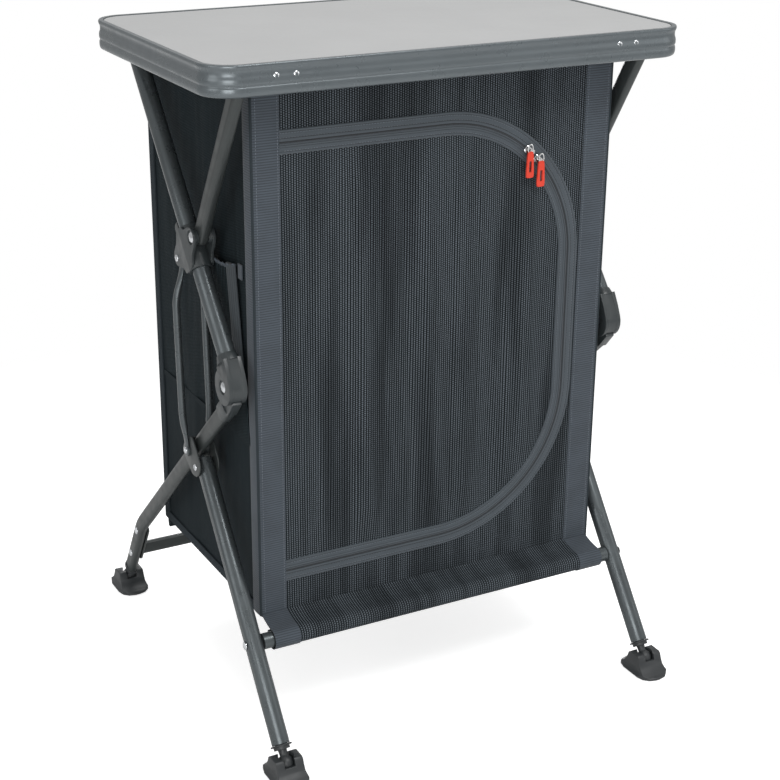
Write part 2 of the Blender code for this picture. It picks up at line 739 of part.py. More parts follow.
# Hubs
def hub():
    cheek = rounded(scaled(HUB_OUTLINE_SHARES, EAR_ARM, EAR_ARM), HUB_ROUND, 1)
    middle = (HUB_CHEEK_INNER + HUB_CHEEK_OUTER) / 2
    thick = HUB_CHEEK_OUTER - HUB_CHEEK_INNER
    body = bar(HUB_SLEEVE_RADIUS, -HUB_SLEEVE_DOWN, HUB_SLEEVE_UP, LONG_FRAME, sides=TUBE_SIDES)
    pieces = []
    for sign in (-1, 1):
        shift = LONG_FRAME @ Matrix.Translation(Vector((0, 0, sign * middle)))
        pieces.append(plate(cheek, thick, shift))
        boss_low = OVAL_THICKNESS / 2 + CLEARANCE
        pieces.append(bore(LONG_FRAME, 0, EAR_ARM, HUB_BOSS_RADIUS, min(sign * boss_low, sign * middle),
                           max(sign * boss_low, sign * middle), 14))
    pieces.append(plate(rounded(rectangle(HOUSING_END - HOUSING_START, HOUSING_DEPTH,
                                          (HOUSING_END + HOUSING_START) / 2, -HOUSING_DEPTH / 2),
                                HUB_ROUND, 1), HOUSING_WIDTH, LONG_FRAME))
    spacer = ROD_TOP_X - ROD_EYE_THICKNESS / 2 - CLEARANCE
    pieces.append(plate(hull([(0, -EAR_ARM, HUB_SPACER_RADIUS), (0, -HUB_SLEEVE_RADIUS, HUB_SPACER_RADIUS)], 12),
                        2 * spacer, LONG_FRAME))
    body = union(body, *pieces)
    reach = 2 * HUB_CHEEK_OUTER
    relief = TUBE_BORE + BAR_END_WALL + 2 * CLEARANCE
    cutters = [bar(TUBE_BORE, -2 * HUB_SLEEVE_DOWN, 2 * HUB_SLEEVE_DOWN, LONG_FRAME, sides=TUBE_SIDES),
               bar(relief, HOUSING_RELIEF_START, 2 * HOUSING_END, LONG_FRAME, sides=TUBE_SIDES),
               bore(LONG_FRAME, 0, EAR_ARM, PIN_BORE, -reach, reach, PIN_SIDES)]
    for sign in (-1, 1):
        face = sign * HUB_CHEEK_OUTER
        cutters.append(bore(LONG_FRAME, 0, EAR_ARM, HUB_SEAT_RADIUS,
                            min(face - sign * HUB_SEAT_DEPTH, face + sign * HUB_SEAT_DEPTH),
                            max(face - sign * HUB_SEAT_DEPTH, face + sign * HUB_SEAT_DEPTH)))
    pocket = BUTTON_BODY + BUTTON_TRAVEL + CLEARANCE
    cutters.append(plate(rectangle(BUTTON_LENGTH + 2 * CLEARANCE, 2 * pocket, BUTTON_STATION, -HOUSING_DEPTH),
                         BUTTON_WIDTH + 2 * CLEARANCE, LONG_FRAME))
    return union(cut(body, *cutters), rivet(LONG_FRAME, 0, -EAR_ARM, -HUB_CHEEK_OUTER, HUB_CHEEK_OUTER,
                                            head=SMALL_HEAD_RADIUS, height=SMALL_HEAD_HEIGHT))


keep_pair("hub", hub(), BLACK, hub_joint)
button_top = -HOUSING_DEPTH + BUTTON_BODY
button_low = -HOUSING_DEPTH - BUTTON_PROUD
button = plate(rectangle(BUTTON_LENGTH, button_top - button_low, BUTTON_STATION, (button_top + button_low) / 2),
               BUTTON_WIDTH, LONG_FRAME)
keep_pair("hub_button", button, BUTTON_RED, hub_joint)
seat = HUB_CHEEK_OUTER - HUB_SEAT_DEPTH + CLEARANCE
keep_pair("hub_rivet", rivet(LONG_FRAME, 0, EAR_ARM, -seat, seat), STEEL, hub_joint)

# Long bars: round tubes from the end fittings under the table to the elbows
FORK_MOUTH = -HUB_TO_ELBOW + COLLAR_START
BAR_TOP = BAR_END_STATION - TRUNNION_RADIUS
long_bar = bar(TUBE_RADIUS, FORK_MOUTH + COLLAR_END_WALL + CLEARANCE, BAR_TOP, LONG_FRAME, sides=TUBE_SIDES)
keep_pair("long_bar", long_bar, FRAME_GREY, slide_joint)


def bar_end():
    wall = TUBE_BORE + BAR_END_WALL
    body = bar(wall, BAR_TOP - BAR_END_COLLAR, BAR_TOP + COLLAR_END_WALL + CLEARANCE, LONG_FRAME, sides=TUBE_SIDES)
    arm = plate(hull([(BAR_END_STATION, BAR_END_ARM, 2 * TRUNNION_RADIUS),
                      (BAR_TOP - TRUNNION_RADIUS, ELBOW_OFFSET / 2, TRUNNION_RADIUS)]),
                OVAL_THICKNESS, LONG_FRAME)
    pin = bore(LONG_FRAME, BAR_END_STATION, BAR_END_ARM, TRUNNION_RADIUS, -lug_face, lug_face)
    body = union(body, arm, pin)
    return cut(body, bar(TUBE_BORE, 0, BAR_TOP + CLEARANCE, LONG_FRAME, sides=TUBE_SIDES))


keep_pair("bar_end", bar_end(), BLACK, slide_joint)


# Elbows: a fork on the long bar and a tongue on the lower bar
def fork():
    inner = TONGUE_HALF_WIDTH + CLEARANCE
    middle = (inner + KNUCKLE_HALF_WIDTH) / 2
    wide = TUBE_BORE + COLLAR_WALL
    slim = wide - COLLAR_TAPER
    lip = 2 * CLEARANCE
    start = math.atan2(lip, KNUCKLE_RADIUS)
    cheek = arc(0, 0, KNUCKLE_RADIUS, start, CHEEK_TOP - 2 * math.pi, 16)
    cheek += [(COLLAR_START * 0.35, ELBOW_OFFSET + wide * 0.72),
              (COLLAR_START + COLLAR_END_WALL, ELBOW_OFFSET + wide * 0.92),
              (COLLAR_START + COLLAR_END_WALL, lip)]
    pieces = []
    for sign in (-1, 1):
        shift = ELBOW_LONG_FRAME @ Matrix.Translation(Vector((0, 0, sign * middle)))
        pieces.append(plate(cheek, KNUCKLE_HALF_WIDTH - inner, shift))
    gap = TONGUE_RADIUS + 2 * CLEARANCE
    reach = COLLAR_START + COLLAR_END_WALL / 2
    hood = arc(0, 0, KNUCKLE_RADIUS - CLEARANCE, HOOD_END, CHEEK_TOP, 5)
    hood += [(cheek[-3][0], cheek[-3][1] - EDGE), (reach, cheek[-2][1] - EDGE), (reach, lip + EDGE)]
    hood += arc(0, 0, gap, math.asin((lip + EDGE) / gap), HOOD_END, 8)
    pieces.append(plate(hood, 2 * middle, ELBOW_LONG_FRAME))
    body = bar(wide, COLLAR_START, COLLAR_START + COLLAR_LENGTH, ELBOW_LONG_FRAME, ELBOW_OFFSET, TUBE_SIDES, slim)
    body = union(body, *pieces)
    cutters = [bar(TUBE_BORE, COLLAR_START + COLLAR_END_WALL, 2 * COLLAR_START + COLLAR_LENGTH,
                   ELBOW_LONG_FRAME, ELBOW_OFFSET, TUBE_SIDES),
               bore(ELBOW_LONG_FRAME, 0, 0, PIN_BORE, -KNUCKLE_RADIUS, KNUCKLE_RADIUS, PIN_SIDES)]
    for sign in (-1, 1):
        face = sign * KNUCKLE_HALF_WIDTH
        cutters.append(bore(ELBOW_LONG_FRAME, 0, 0, HUB_SEAT_RADIUS,
                            min(face - sign * HUB_SEAT_DEPTH, face + sign * HUB_SEAT_DEPTH),
                            max(face - sign * HUB_SEAT_DEPTH, face + sign * HUB_SEAT_DEPTH)))
    return cut(body, *cutters)


keep_pair("elbow_fork", fork(), BLACK, slide_joint)
knuckle_seat = KNUCKLE_HALF_WIDTH - HUB_SEAT_DEPTH + CLEARANCE
keep_pair("elbow_rivet", rivet(ELBOW_LONG_FRAME, 0, 0, -knuckle_seat, knuckle_seat), STEEL, slide_joint)


def tongue():
    disc = plate(circle(0, 0, TONGUE_RADIUS, 20), 2 * TONGUE_HALF_WIDTH, LOWER_FRAME)
    wall = LOWER_COLLAR_WALL + CLEARANCE
    low = -ELBOW_OFFSET - OVAL_WIDTH / 2 - wall
    neck = plate(rounded([(0, low + COLLAR_WALL), (COLLAR_START + COLLAR_END_WALL, low),
                          (COLLAR_START + COLLAR_END_WALL, -2 * CLEARANCE), (0, 0)], EDGE, 1),
                 2 * TONGUE_HALF_WIDTH, LOWER_FRAME)
    end = Matrix.Translation(Vector((COLLAR_START + LOWER_COLLAR_LENGTH / 2, -ELBOW_OFFSET, 0)))
    sleeve = plate(oval(OVAL_WIDTH + 2 * wall, OVAL_THICKNESS + 2 * wall), LOWER_COLLAR_LENGTH,
                   LOWER_FRAME @ end @ ALONG_A @ QUARTER)
    body = union(disc, neck, sleeve)
    inner = Matrix.Translation(Vector((COLLAR_START + COLLAR_END_WALL + LOWER_COLLAR_LENGTH, -ELBOW_OFFSET, 0)))
    return cut(body, plate(oval(OVAL_WIDTH + 2 * CLEARANCE, OVAL_THICKNESS + 2 * CLEARANCE),
                           2 * LOWER_COLLAR_LENGTH, LOWER_FRAME @ inner @ ALONG_A @ QUARTER),
               bore(LOWER_FRAME, 0, 0, PIN_BORE, -KNUCKLE_RADIUS, KNUCKLE_RADIUS, PIN_SIDES))


QUARTER = Matrix.Rotation(math.radians(90), 4, "Z")


def oval(width, thickness):
    """Section of a flat-oval bar, its width along a."""
    ring = stadium(width - thickness, thickness, 6)
    return [(a - (width - thickness) / 2, b) for a, b in ring]


keep_pair("elbow_tongue", tongue(), BLACK, elbow_joint)


# Lower bars: flat-oval tubes from the elbow down to the rear foot, bent above it
def lower_bar():
    start = COLLAR_START + COLLAR_END_WALL + CLEARANCE
    knee = ELBOW_TO_CROSSING + BEND_FROM_CROSSING
    drop = FOOT_ANGLE - LOWER_ANGLE
    run = FOOT_RUN - NECK_LENGTH - COLLAR_END_WALL - CLEARANCE
    points = [(start, -ELBOW_OFFSET)]
    corner = Vector((knee, -ELBOW_OFFSET))
    before = Vector((-1, 0)) * BEND_SOFTNESS
    after = Vector((math.cos(drop), -math.sin(drop))) * BEND_SOFTNESS
    for i in range(7):
        t = i / 6
        point = corner + before * (1 - t) ** 2 + after * t ** 2
        points.append((point.x, point.y))
    points.append((knee + run * math.cos(drop), -ELBOW_OFFSET - run * math.sin(drop)))
    section = bpy.data.curves.new("oval_section", "CURVE")
    section.dimensions = "2D"
    section.fill_mode = "NONE"
    ring = oval(OVAL_WIDTH, OVAL_THICKNESS)
    spline = section.splines.new("POLY")
    spline.points.add(len(ring) - 1)
    for point, (a, b) in zip(spline.points, ring):
        point.co = (a, b, 0, 1)
    spline.use_cyclic_u = True
    section_object = shape(section)
    path = bpy.data.curves.new("lower_path", "CURVE")
    path.dimensions = "2D"
    path.fill_mode = "NONE"
    path.bevel_mode = "OBJECT"
    path.bevel_object = section_object
    path.use_fill_caps = True
    spline = path.splines.new("POLY")
    spline.points.add(len(points) - 1)
    for point, (a, b) in zip(spline.points, points):
        point.co = (a, b, 0, 1)
    rough = shape(path)
    mesh = tidied(evaluated(rough))
    discard(rough)
    discard(section_object)
    mesh.transform(LOWER_FRAME)
    body = shape(mesh)
    cutters = [bore(CROSSING_FRAME, 0, 0, PIN_BORE, -OVAL_WIDTH, OVAL_WIDTH, PIN_SIDES)]
    for station in rear_rivet_stations():
        cutters.append(bore(FOOT_FRAME, station, 0, SMALL_BORE, -OVAL_WIDTH, OVAL_WIDTH, 10))
    return cut(body, *cutters)


def rear_rivet_stations():
    return REAR_PLATE_START + REAR_RIVET_INSET, REAR_PLATE_END - REAR_RIVET_INSET


keep_pair("lower_bar", lower_bar(), FRAME_GREY, elbow_joint)


# Crossing: paired plates that carry the front legs, with bushes between them and the lower bar
def leg_bracket():
    middle = (BRACKET_INNER + BRACKET_OUTER) / 2
    thick = BRACKET_OUTER - BRACKET_INNER
    outline = [(a * LEG_PIN_OUT, -b * LEG_PIN_OUT) for a, b in BRACKET_SHARES]
    ring = rounded(outline, BRACKET_ROUND, 1)
    first = plate(ring, thick, CROSSING_FRAME @ Matrix.Translation(Vector((0, 0, middle))))
    second = plate(ring, thick, CROSSING_FRAME @ Matrix.Translation(Vector((0, 0, -middle))))
    across = cylinder(PIN_RADIUS, 2 * middle, CROSSING_FRAME, PIN_SIDES)
    pin = rivet(CROSSING_FRAME, -LEG_PIN_BACK, -LEG_PIN_OUT, -BRACKET_OUTER, BRACKET_OUTER,
                head=SMALL_HEAD_RADIUS, height=SMALL_HEAD_HEIGHT)
    return union(first, second, across, pin)


keep_pair("leg_bracket", leg_bracket(), FRAME_GREY, elbow_joint)


def crossing_bush():
    """Saddle over the lower bar, whose two cheeks fill the bracket's width."""
    low = OVAL_THICKNESS / 2 + CLEARANCE
    high = BRACKET_INNER - CLEARANCE
    ridge = OVAL_WIDTH / 2 + CLEARANCE
    crown = ridge + BUSH_CROWN
    outline = hull([(0, 0, BUSH_RADIUS), (-BUSH_RADIUS * 0.6, crown - EDGE, EDGE),
                    (BUSH_RADIUS * 0.6, crown - EDGE, EDGE)], 14)
    body = plate(outline, 2 * high, CROSSING_FRAME)
    groove = box((-2 * BUSH_RADIUS, -2 * BUSH_RADIUS, -low), (2 * BUSH_RADIUS, ridge, low), CROSSING_FRAME)
    return cut(body, groove, bore(CROSSING_FRAME, 0, 0, PIN_BORE, -OVAL_WIDTH, OVAL_WIDTH, PIN_SIDES))


keep_pair("crossing_bush", crossing_bush(), BLACK, elbow_joint)

# Rear stretcher: a flat bar with an end plate riveted to each lower bar
inner_face = FRAME_X - OVAL_THICKNESS / 2 - CLEARANCE
stretcher_section = rounded(rectangle(REAR_STRETCHER_THICKNESS, REAR_STRETCHER_HEIGHT,
                                      REAR_STRETCHER_AT.x, REAR_STRETCHER_AT.y), HUB_ROUND, 2)
rear_stretcher = plate(stretcher_section, 2 * (inner_face - FINE_EDGE), side_plane())
end_plates = []
for side_sign in (-1, 1):
    plate_x = side_sign * (inner_face - REAR_PLATE_THICKNESS / 2)
    shift = Matrix.Translation(Vector(((REAR_PLATE_START + REAR_PLATE_END) / 2, 0, plate_x)))
    outline = rounded(rectangle(REAR_PLATE_END - REAR_PLATE_START, REAR_PLATE_WIDTH), HUB_ROUND, 3)
    end_plates.append(plate(outline, REAR_PLATE_THICKNESS, FOOT_FRAME @ shift))
for rivet_station in rear_rivet_stations():
    for side_sign in (-1, 1):
        faces = sorted((side_sign * (OVAL_THICKNESS / 2 + CLEARANCE),
                        -side_sign * (OVAL_THICKNESS / 2 + CLEARANCE + REAR_PLATE_THICKNESS)))
        shift = Matrix.Translation(Vector((side_sign * FRAME_X, 0, 0))) @ FOOT_FRAME
        end_plates.append(rivet(shift, rivet_station, 0, faces[0], faces[1], SMALL_PIN_RADIUS,
                                SMALL_HEAD_RADIUS, SMALL_HEAD_HEIGHT))
rear_stretcher = union(rear_stretcher, *end_plates)
keep("rear_stretcher", rear_stretcher, BLACK, elbow_joint)

# Front legs and their stretcher
LEG_END = LEG_RUN - NECK_LENGTH - ADJUSTER_LENGTH - CLEARANCE
STEM_BORE = ADJUSTER_STEM_RADIUS + CLEARANCE
front_leg = bar(TUBE_RADIUS, -LEG_TOP, LEG_END, LEG_FRAME, sides=TUBE_SIDES)
front_leg = cut(front_leg, bore(LEG_FRAME, 0, 0, PIN_BORE, -OVAL_WIDTH, OVAL_WIDTH, PIN_SIDES),
                bore(LEG_FRAME, FRONT_STRETCHER_STATION, 0, SMALL_BORE, -OVAL_WIDTH, OVAL_WIDTH, PIN_SIDES),
                bar(STEM_BORE, LEG_END - ADJUSTER_STEM_LENGTH - OVERRUN, LEG_END + OVERRUN, LEG_FRAME, sides=14))
keep_pair("front_leg", front_leg, FRAME_GREY, leg_joint)
half_span = FRAME_X - TUBE_RADIUS - CLEARANCE
across_front = side_plane(FRONT_STRETCHER_AT, math.pi + LEG_ANGLE)
front_stretcher = cylinder(FRONT_STRETCHER_RADIUS, 2 * half_span, across_front, 18)
stretcher_bolts = []
for side_sign in (-1, 1):
    outer = FRAME_X + TUBE_RADIUS + CLEARANCE
    inner = half_span - FRONT_PLUG_DEPTH + OVERRUN
    turn = Matrix.Rotation(math.radians(0 if side_sign > 0 else 180), 4, "Y")
    stretcher_bolts.append(turned([(0, outer + SMALL_HEAD_HEIGHT),
                                   (SMALL_HEAD_RADIUS * 0.6, outer + SMALL_HEAD_HEIGHT * 0.8),
                                   (SMALL_HEAD_RADIUS, outer + SMALL_HEAD_HEIGHT * 0.2),
                                   (SMALL_HEAD_RADIUS, outer), (SMALL_PIN_RADIUS, outer),
                                   (SMALL_PIN_RADIUS, inner), (0, inner)], across_front @ turn, PIN_SIDES))
keep("front_stretcher", union(front_stretcher, *stretcher_bolts), FRAME_GREY, leg_joint)


# Link rods: round in the middle, cranked into the hub at the top, flattened to an eye at each end
def link_rod(sign):
    low_x = BRACKET_OUTER + CLEARANCE + ROD_EYE_THICKNESS / 2
    top = ROD_FRAME @ Matrix.Translation(Vector((0, 0, sign * ROD_TOP_X)))
    low = ROD_FRAME @ Matrix.Translation(Vector((ROD_RUN, 0, sign * low_x)))
    upper_eye = plate(hull([(0, 0, ROD_EYE_RADIUS), (ROD_FLAT, 0, ROD_RADIUS)], 12), ROD_EYE_THICKNESS, top)
    lower_eye = plate(hull([(0, 0, ROD_EYE_RADIUS), (-ROD_FLAT, 0, ROD_RADIUS)], 12), ROD_EYE_THICKNESS, low)
    curve = bpy.data.curves.new("rod", "CURVE")
    curve.dimensions = "3D"
    curve.bevel_depth = ROD_RADIUS
    curve.bevel_resolution = 1
    curve.use_fill_caps = True
    spline = curve.splines.new("POLY")
    slim = ROD_EYE_THICKNESS / 2 / ROD_RADIUS
    stations = ((ROD_CRANK_START, ROD_TOP_X, ROD_SLIM_SHARE), (ROD_CRANK_END, ROD_X, 1.0),
                (ROD_RUN - ROD_CRANK_END, ROD_X, 1.0), (ROD_RUN - ROD_CRANK_START, low_x, slim))
    spline.points.add(len(stations) - 1)
    for point, (a, c, share) in zip(spline.points, stations):
        point.co = (a, 0, sign * c, 1)
        point.radius = share
    rough = shape(curve)
    mesh = tidied(evaluated(rough))
    discard(rough)
    mesh.transform(ROD_FRAME)
    face = ROD_EYE_THICKNESS / 2
    turn = Matrix.Rotation(math.radians(0 if sign > 0 else 180), 4, "Y")
    head = turned([(0, face + SMALL_HEAD_HEIGHT), (SMALL_HEAD_RADIUS * 0.7, face + SMALL_HEAD_HEIGHT * 0.7),
                   (SMALL_HEAD_RADIUS, face), (SMALL_HEAD_RADIUS, 0), (0, 0)], low @ turn, PIN_SIDES)
    return cut(union(shape(mesh), upper_eye, lower_eye, head),
               bore(top, 0, 0, PIN_BORE, -OVAL_WIDTH, OVAL_WIDTH, PIN_SIDES))


for rod_name, rod_sign in (("outer_rod", 1), ("inner_rod", -1)):
    for side_name, side_sign in (("left", -1), ("right", 1)):
        made = link_rod(rod_sign * side_sign)
        made.data.transform(Matrix.Translation(Vector((side_sign * FRAME_X, 0, 0))))
        keep(side_name + "_" + rod_name, made, FRAME_GREY, rod_joint)
# Feet: adjusters on the front legs, plugs on the rear bars, swivel shoes under both
def adjuster():
    collar_start = LEG_END + CLEARANCE
    collar_end = collar_start + ADJUSTER_LENGTH
    flange = collar_start + ADJUSTER_FLANGE
    stem_start = LEG_END - ADJUSTER_STEM_LENGTH
    profile = [(0, LEG_RUN + BALL_RADIUS)]
    for i in range(1, 6):
        angle = math.radians(150) * i / 5
        profile.append((BALL_RADIUS * math.sin(angle), LEG_RUN + BALL_RADIUS * math.cos(angle)))
    profile += [(NECK_RADIUS * 0.9, collar_end + NECK_RADIUS), (NECK_RADIUS, collar_end),
                (ADJUSTER_RING_RADIUS, collar_end), (ADJUSTER_RING_RADIUS, flange),
                (ADJUSTER_RADIUS - EDGE, flange), (ADJUSTER_RADIUS, (flange + collar_start) / 2),
                (ADJUSTER_RADIUS - EDGE, collar_start), (ADJUSTER_STEM_RADIUS, collar_start),
                (ADJUSTER_STEM_RADIUS, stem_start), (0, stem_start)]
    return turned(profile, LEG_FRAME @ ALONG_A, 14)


adjuster_mesh = adjuster()
adjuster_joint = empty("adjuster_joint", leg_joint, 0.0, *(LEG_PIN + LEG_DIR * LEG_END))
keep_pair("adjuster", adjuster_mesh, BLACK, adjuster_joint)


def rear_plug():
    ball_at = FOOT_RUN
    mouth = ball_at - NECK_LENGTH
    wall = PLUG_WALL + CLEARANCE
    sleeve = plate(oval(OVAL_WIDTH + 2 * wall, OVAL_THICKNESS + 2 * wall), PLUG_LENGTH,
                   FOOT_FRAME @ Matrix.Translation(Vector((mouth - PLUG_LENGTH / 2, 0, 0))) @ ALONG_A @ QUARTER,
                   EDGE)
    profile = [(0, ball_at + BALL_RADIUS)]
    for i in range(1, 6):
        angle = math.radians(150) * i / 5
        profile.append((BALL_RADIUS * math.sin(angle), ball_at + BALL_RADIUS * math.cos(angle)))
    profile += [(NECK_RADIUS, mouth), (NECK_RADIUS, mouth - COLLAR_END_WALL / 2),
                (0, mouth - COLLAR_END_WALL / 2)]
    body = union(sleeve, turned(profile, FOOT_FRAME @ ALONG_A, 12))
    return cut(body, plate(oval(OVAL_WIDTH + 2 * CLEARANCE, OVAL_THICKNESS + 2 * CLEARANCE), 2 * PLUG_LENGTH,
                           FOOT_FRAME @ Matrix.Translation(Vector((mouth - COLLAR_END_WALL - PLUG_LENGTH, 0, 0)))
                           @ ALONG_A @ QUARTER))


keep_pair("rear_plug", rear_plug(), BLACK, elbow_joint)


def shoe(point):
    """Saddle-shaped swivel shoe round a ball; its length lies along y."""
    floor = -TABLE_HEIGHT
    half = SHOE_LENGTH / 2
    base = plate(rounded(rectangle(SHOE_WIDTH, SHOE_LENGTH, 0, point.x), SHOE_WIDTH * 0.44, 3), SHOE_BASE,
                 Matrix.Translation(Vector((0, 0, floor + SHOE_BASE / 2))), SHOE_ROUND)
    side = [(point.x + a * half * 0.94, floor + b * SHOE_HEIGHT) for a, b in SHOE_SIDE_SHARES]
    side = [(point.x - half * 0.94, floor + SHOE_ROUND)] + side + [(point.x + half * 0.94, floor + SHOE_ROUND)]
    front = [(sign * a * SHOE_WIDTH / 2, floor + b * SHOE_HEIGHT)
             for sign, shares in ((-1, SHOE_FRONT_SHARES), (1, SHOE_FRONT_SHARES[::-1])) for a, b in shares]
    front = [(front[0][0], floor + SHOE_ROUND)] + front + [(front[-1][0], floor + SHOE_ROUND)]
    upright = Matrix.Translation(Vector((0, point.x, 0))) @ Matrix.Rotation(math.radians(90), 4, "X")
    saddle = common(plate(side, SHOE_WIDTH, side_plane()), plate(front, 2 * SHOE_LENGTH, upright))
    trim = plate(rounded(rectangle(SHOE_WIDTH, SHOE_LENGTH, 0, point.x), SHOE_WIDTH * 0.44, 3),
                 4 * SHOE_HEIGHT, Matrix.Translation(Vector((0, 0, floor))))
    saddle = common(saddle, trim)
    body = union(base, saddle)
    centre = floor + BALL_HEIGHT
    slot_half = NECK_RADIUS + 5 * CLEARANCE
    slot_floor = centre + CLEARANCE
    socket = (BALL_RADIUS + CLEARANCE) / math.cos(math.pi / 12) / math.cos(math.pi / 16)
    return cut(body, ball(socket, Matrix.Translation(Vector((0, point.x, centre))), 12, 8),
               box((-slot_half, point.x - SHOE_LENGTH, slot_floor), (slot_half, point.x + SHOE_LENGTH,
                                                                     slot_floor + SHOE_HEIGHT)),
               cylinder(BALL_RADIUS, SHOE_HEIGHT, Matrix.Translation(
                   Vector((0, point.x, centre + SHOE_HEIGHT / 2 + BALL_RADIUS * 0.45))), 12))


for end_name, point in (("front", FRONT_BALL), ("rear", REAR_BALL)):
    carrier = adjuster_joint if end_name == "front" else elbow_joint
    shoe_joint = empty(end_name + "_shoe_joint", carrier, 0.0, *point)
    pair = keep_pair(end_name + "_shoe", shoe(point), BLACK, shoe_joint)

# Fabric cabinet
TOP_Z = -RAIL_TOP - RAIL_HEIGHT - CLEARANCE
UNDER_RIM_Z = -RIM_HEIGHT - CLEARANCE
BOTTOM_Z = -CABINET_BOTTOM_DROP


def sheet(columns, rows, place, thickness):
    """Cloth from a grid of points, given a thickness by Solidify."""
    work = bmesh.new()
    grid = [[work.verts.new(place(i / columns, j / rows)) for j in range(rows + 1)] for i in range(columns + 1)]
    for i in range(columns):
        for j in range(rows):
            work.faces.new((grid[i][j], grid[i + 1][j], grid[i + 1][j + 1], grid[i][j + 1]))
    mesh = bpy.data.meshes.new("cloth")
    work.to_mesh(mesh)
    work.free()
    rough = shape(mesh)
    solid = rough.modifiers.new("thickness", "SOLIDIFY")
    solid.thickness = thickness
    solid.offset = 0
    made = tidied(evaluated(rough))
    discard(rough)
    return shape(made)


def slack(t):
    """Nothing at the sewn edges, most between them."""
    return math.sin(math.pi * t) ** 0.8 if 0 < t < 1 else 0.0


def ripples(u, v, count, lean):
    return (math.sin(2 * math.pi * (count * u + lean * v)) * 0.6
            + math.sin(2 * math.pi * (count * 1.62 * u - lean * 0.7 * v) + 1.3) * 0.4)


def side_panel(sign):
    front = -CABINET_FRONT + CLOTH / 2 + CLEARANCE * 2
    rear = CABINET_REAR - CLOTH - CLEARANCE * 2

    def place(u, v):
        fold = SIDE_FOLD * slack(u) * slack(v) * ripples(u, v, 3, 0.4)
        return sign * (CABINET_X - CLOTH / 2 - abs(fold) * 0.6), front + (rear - front) * u, \
            UNDER_RIM_Z + (BOTTOM_Z - UNDER_RIM_Z) * v

    return sheet(13, 8, place, CLOTH)


def rear_panel():
    def place(u, v):
        fold = REAR_FOLD * slack(u) * slack(v) * ripples(u, v, 5, 0.3)
        return -CABINET_X + 2 * CABINET_X * u, CABINET_REAR - CLOTH / 2 + fold * 0.5 + abs(fold) * 0.5, \
            UNDER_RIM_Z + (BOTTOM_Z - UNDER_RIM_Z) * v

    return sheet(15, 7, place, CLOTH)


keep("left_side_panel", side_panel(-1), MESH_GREY, origin)
keep("right_side_panel", side_panel(1), MESH_GREY, origin)
keep("rear_panel", rear_panel(), MESH_GREY, origin)


# Door and its opening: straight at the left, with two large corners at the right
def door_outline(grow, steps=10):
    """Outline as (x, z), larger than the door's edge by the growth, but not at the hinge side."""
    top, bottom = -DOOR_TOP_DROP + grow, -DOOR_BOTTOM_DROP - grow
    right = DOOR_RIGHT + grow - ZIP_WIDTH
    radius = DOOR_CORNER_RADIUS + grow
    left = -DOOR_LEFT
    return ([(left, top)] + arc(right - radius, top - radius, radius, math.pi / 2, 0, steps)
            + arc(right - radius, bottom + radius, radius, 0, -math.pi / 2, steps) + [(left, bottom)])


FRONT_PLANE = Matrix(((1, 0, 0, 0), (0, 0, -1, -CABINET_FRONT), (0, 1, 0, 0), (0, 0, 0, 1)))
surround = plate([(-CABINET_X, BOTTOM_Z), (CABINET_X, BOTTOM_Z), (CABINET_X, TOP_Z), (-CABINET_X, TOP_Z)],
                 CLOTH, FRONT_PLANE, holes=(door_outline(SEAM_GAP),))
keep("front_panel", surround, BAND_GREY, origin, smooth=False)

tape_at = FRONT_PLANE @ Matrix.Translation(Vector((0, 0, CLOTH / 2 + CLEARANCE + ZIP_THICKNESS / 2)))
outer_edge = door_outline(ZIP_WIDTH)
inner_edge = door_outline(SEAM_GAP)
zip_tape = plate(outer_edge + inner_edge[::-1], ZIP_THICKNESS, tape_at)
keep("zip_tape", zip_tape, ZIP_GREY, origin, smooth=False)


def door():
    """Mesh flap with vertical folds and a raised inner half of the zip's tape along its free edge."""
    right = DOOR_RIGHT - ZIP_WIDTH
    radius = DOOR_CORNER_RADIUS
    left = -DOOR_LEFT + SEAM_GAP

    def span(x):
        reach = x - (right - radius)
        drop = radius - math.sqrt(max(radius ** 2 - reach ** 2, 0.0)) if reach > 0 else 0.0
        return -DOOR_TOP_DROP - drop, -DOOR_BOTTOM_DROP + drop

    def place(u, v):
        ease = math.sin(math.pi / 2 * u) ** 0.7 if u > 0 else 0.0
        x = left + (right - left) * ease
        top, bottom = span(x)
        z = top + (bottom - top) * v
        edge = min(top - z, z - bottom, right - x)
        raised = ZIP_THICKNESS * 0.6 if edge < ZIP_WIDTH * 0.9 else 0.0
        calm = min(max((edge - ZIP_WIDTH) / (2 * ZIP_WIDTH), 0.0), 1.0) * min((x - left) / (2 * ZIP_WIDTH), 1.0)
        fold = DOOR_FOLD * calm * ripples(ease, v, 6, 0.35)
        return x, -CABINET_FRONT - raised - fold * 0.5 + calm * DOOR_FOLD * 0.4, z

    return sheet(24, 11, place, CLOTH)


door_joint = empty("door_joint", origin, -DOOR_LEFT, -CABINET_FRONT, BOTTOM_Z)
keep("door_panel", door(), MESH_GREY, door_joint)


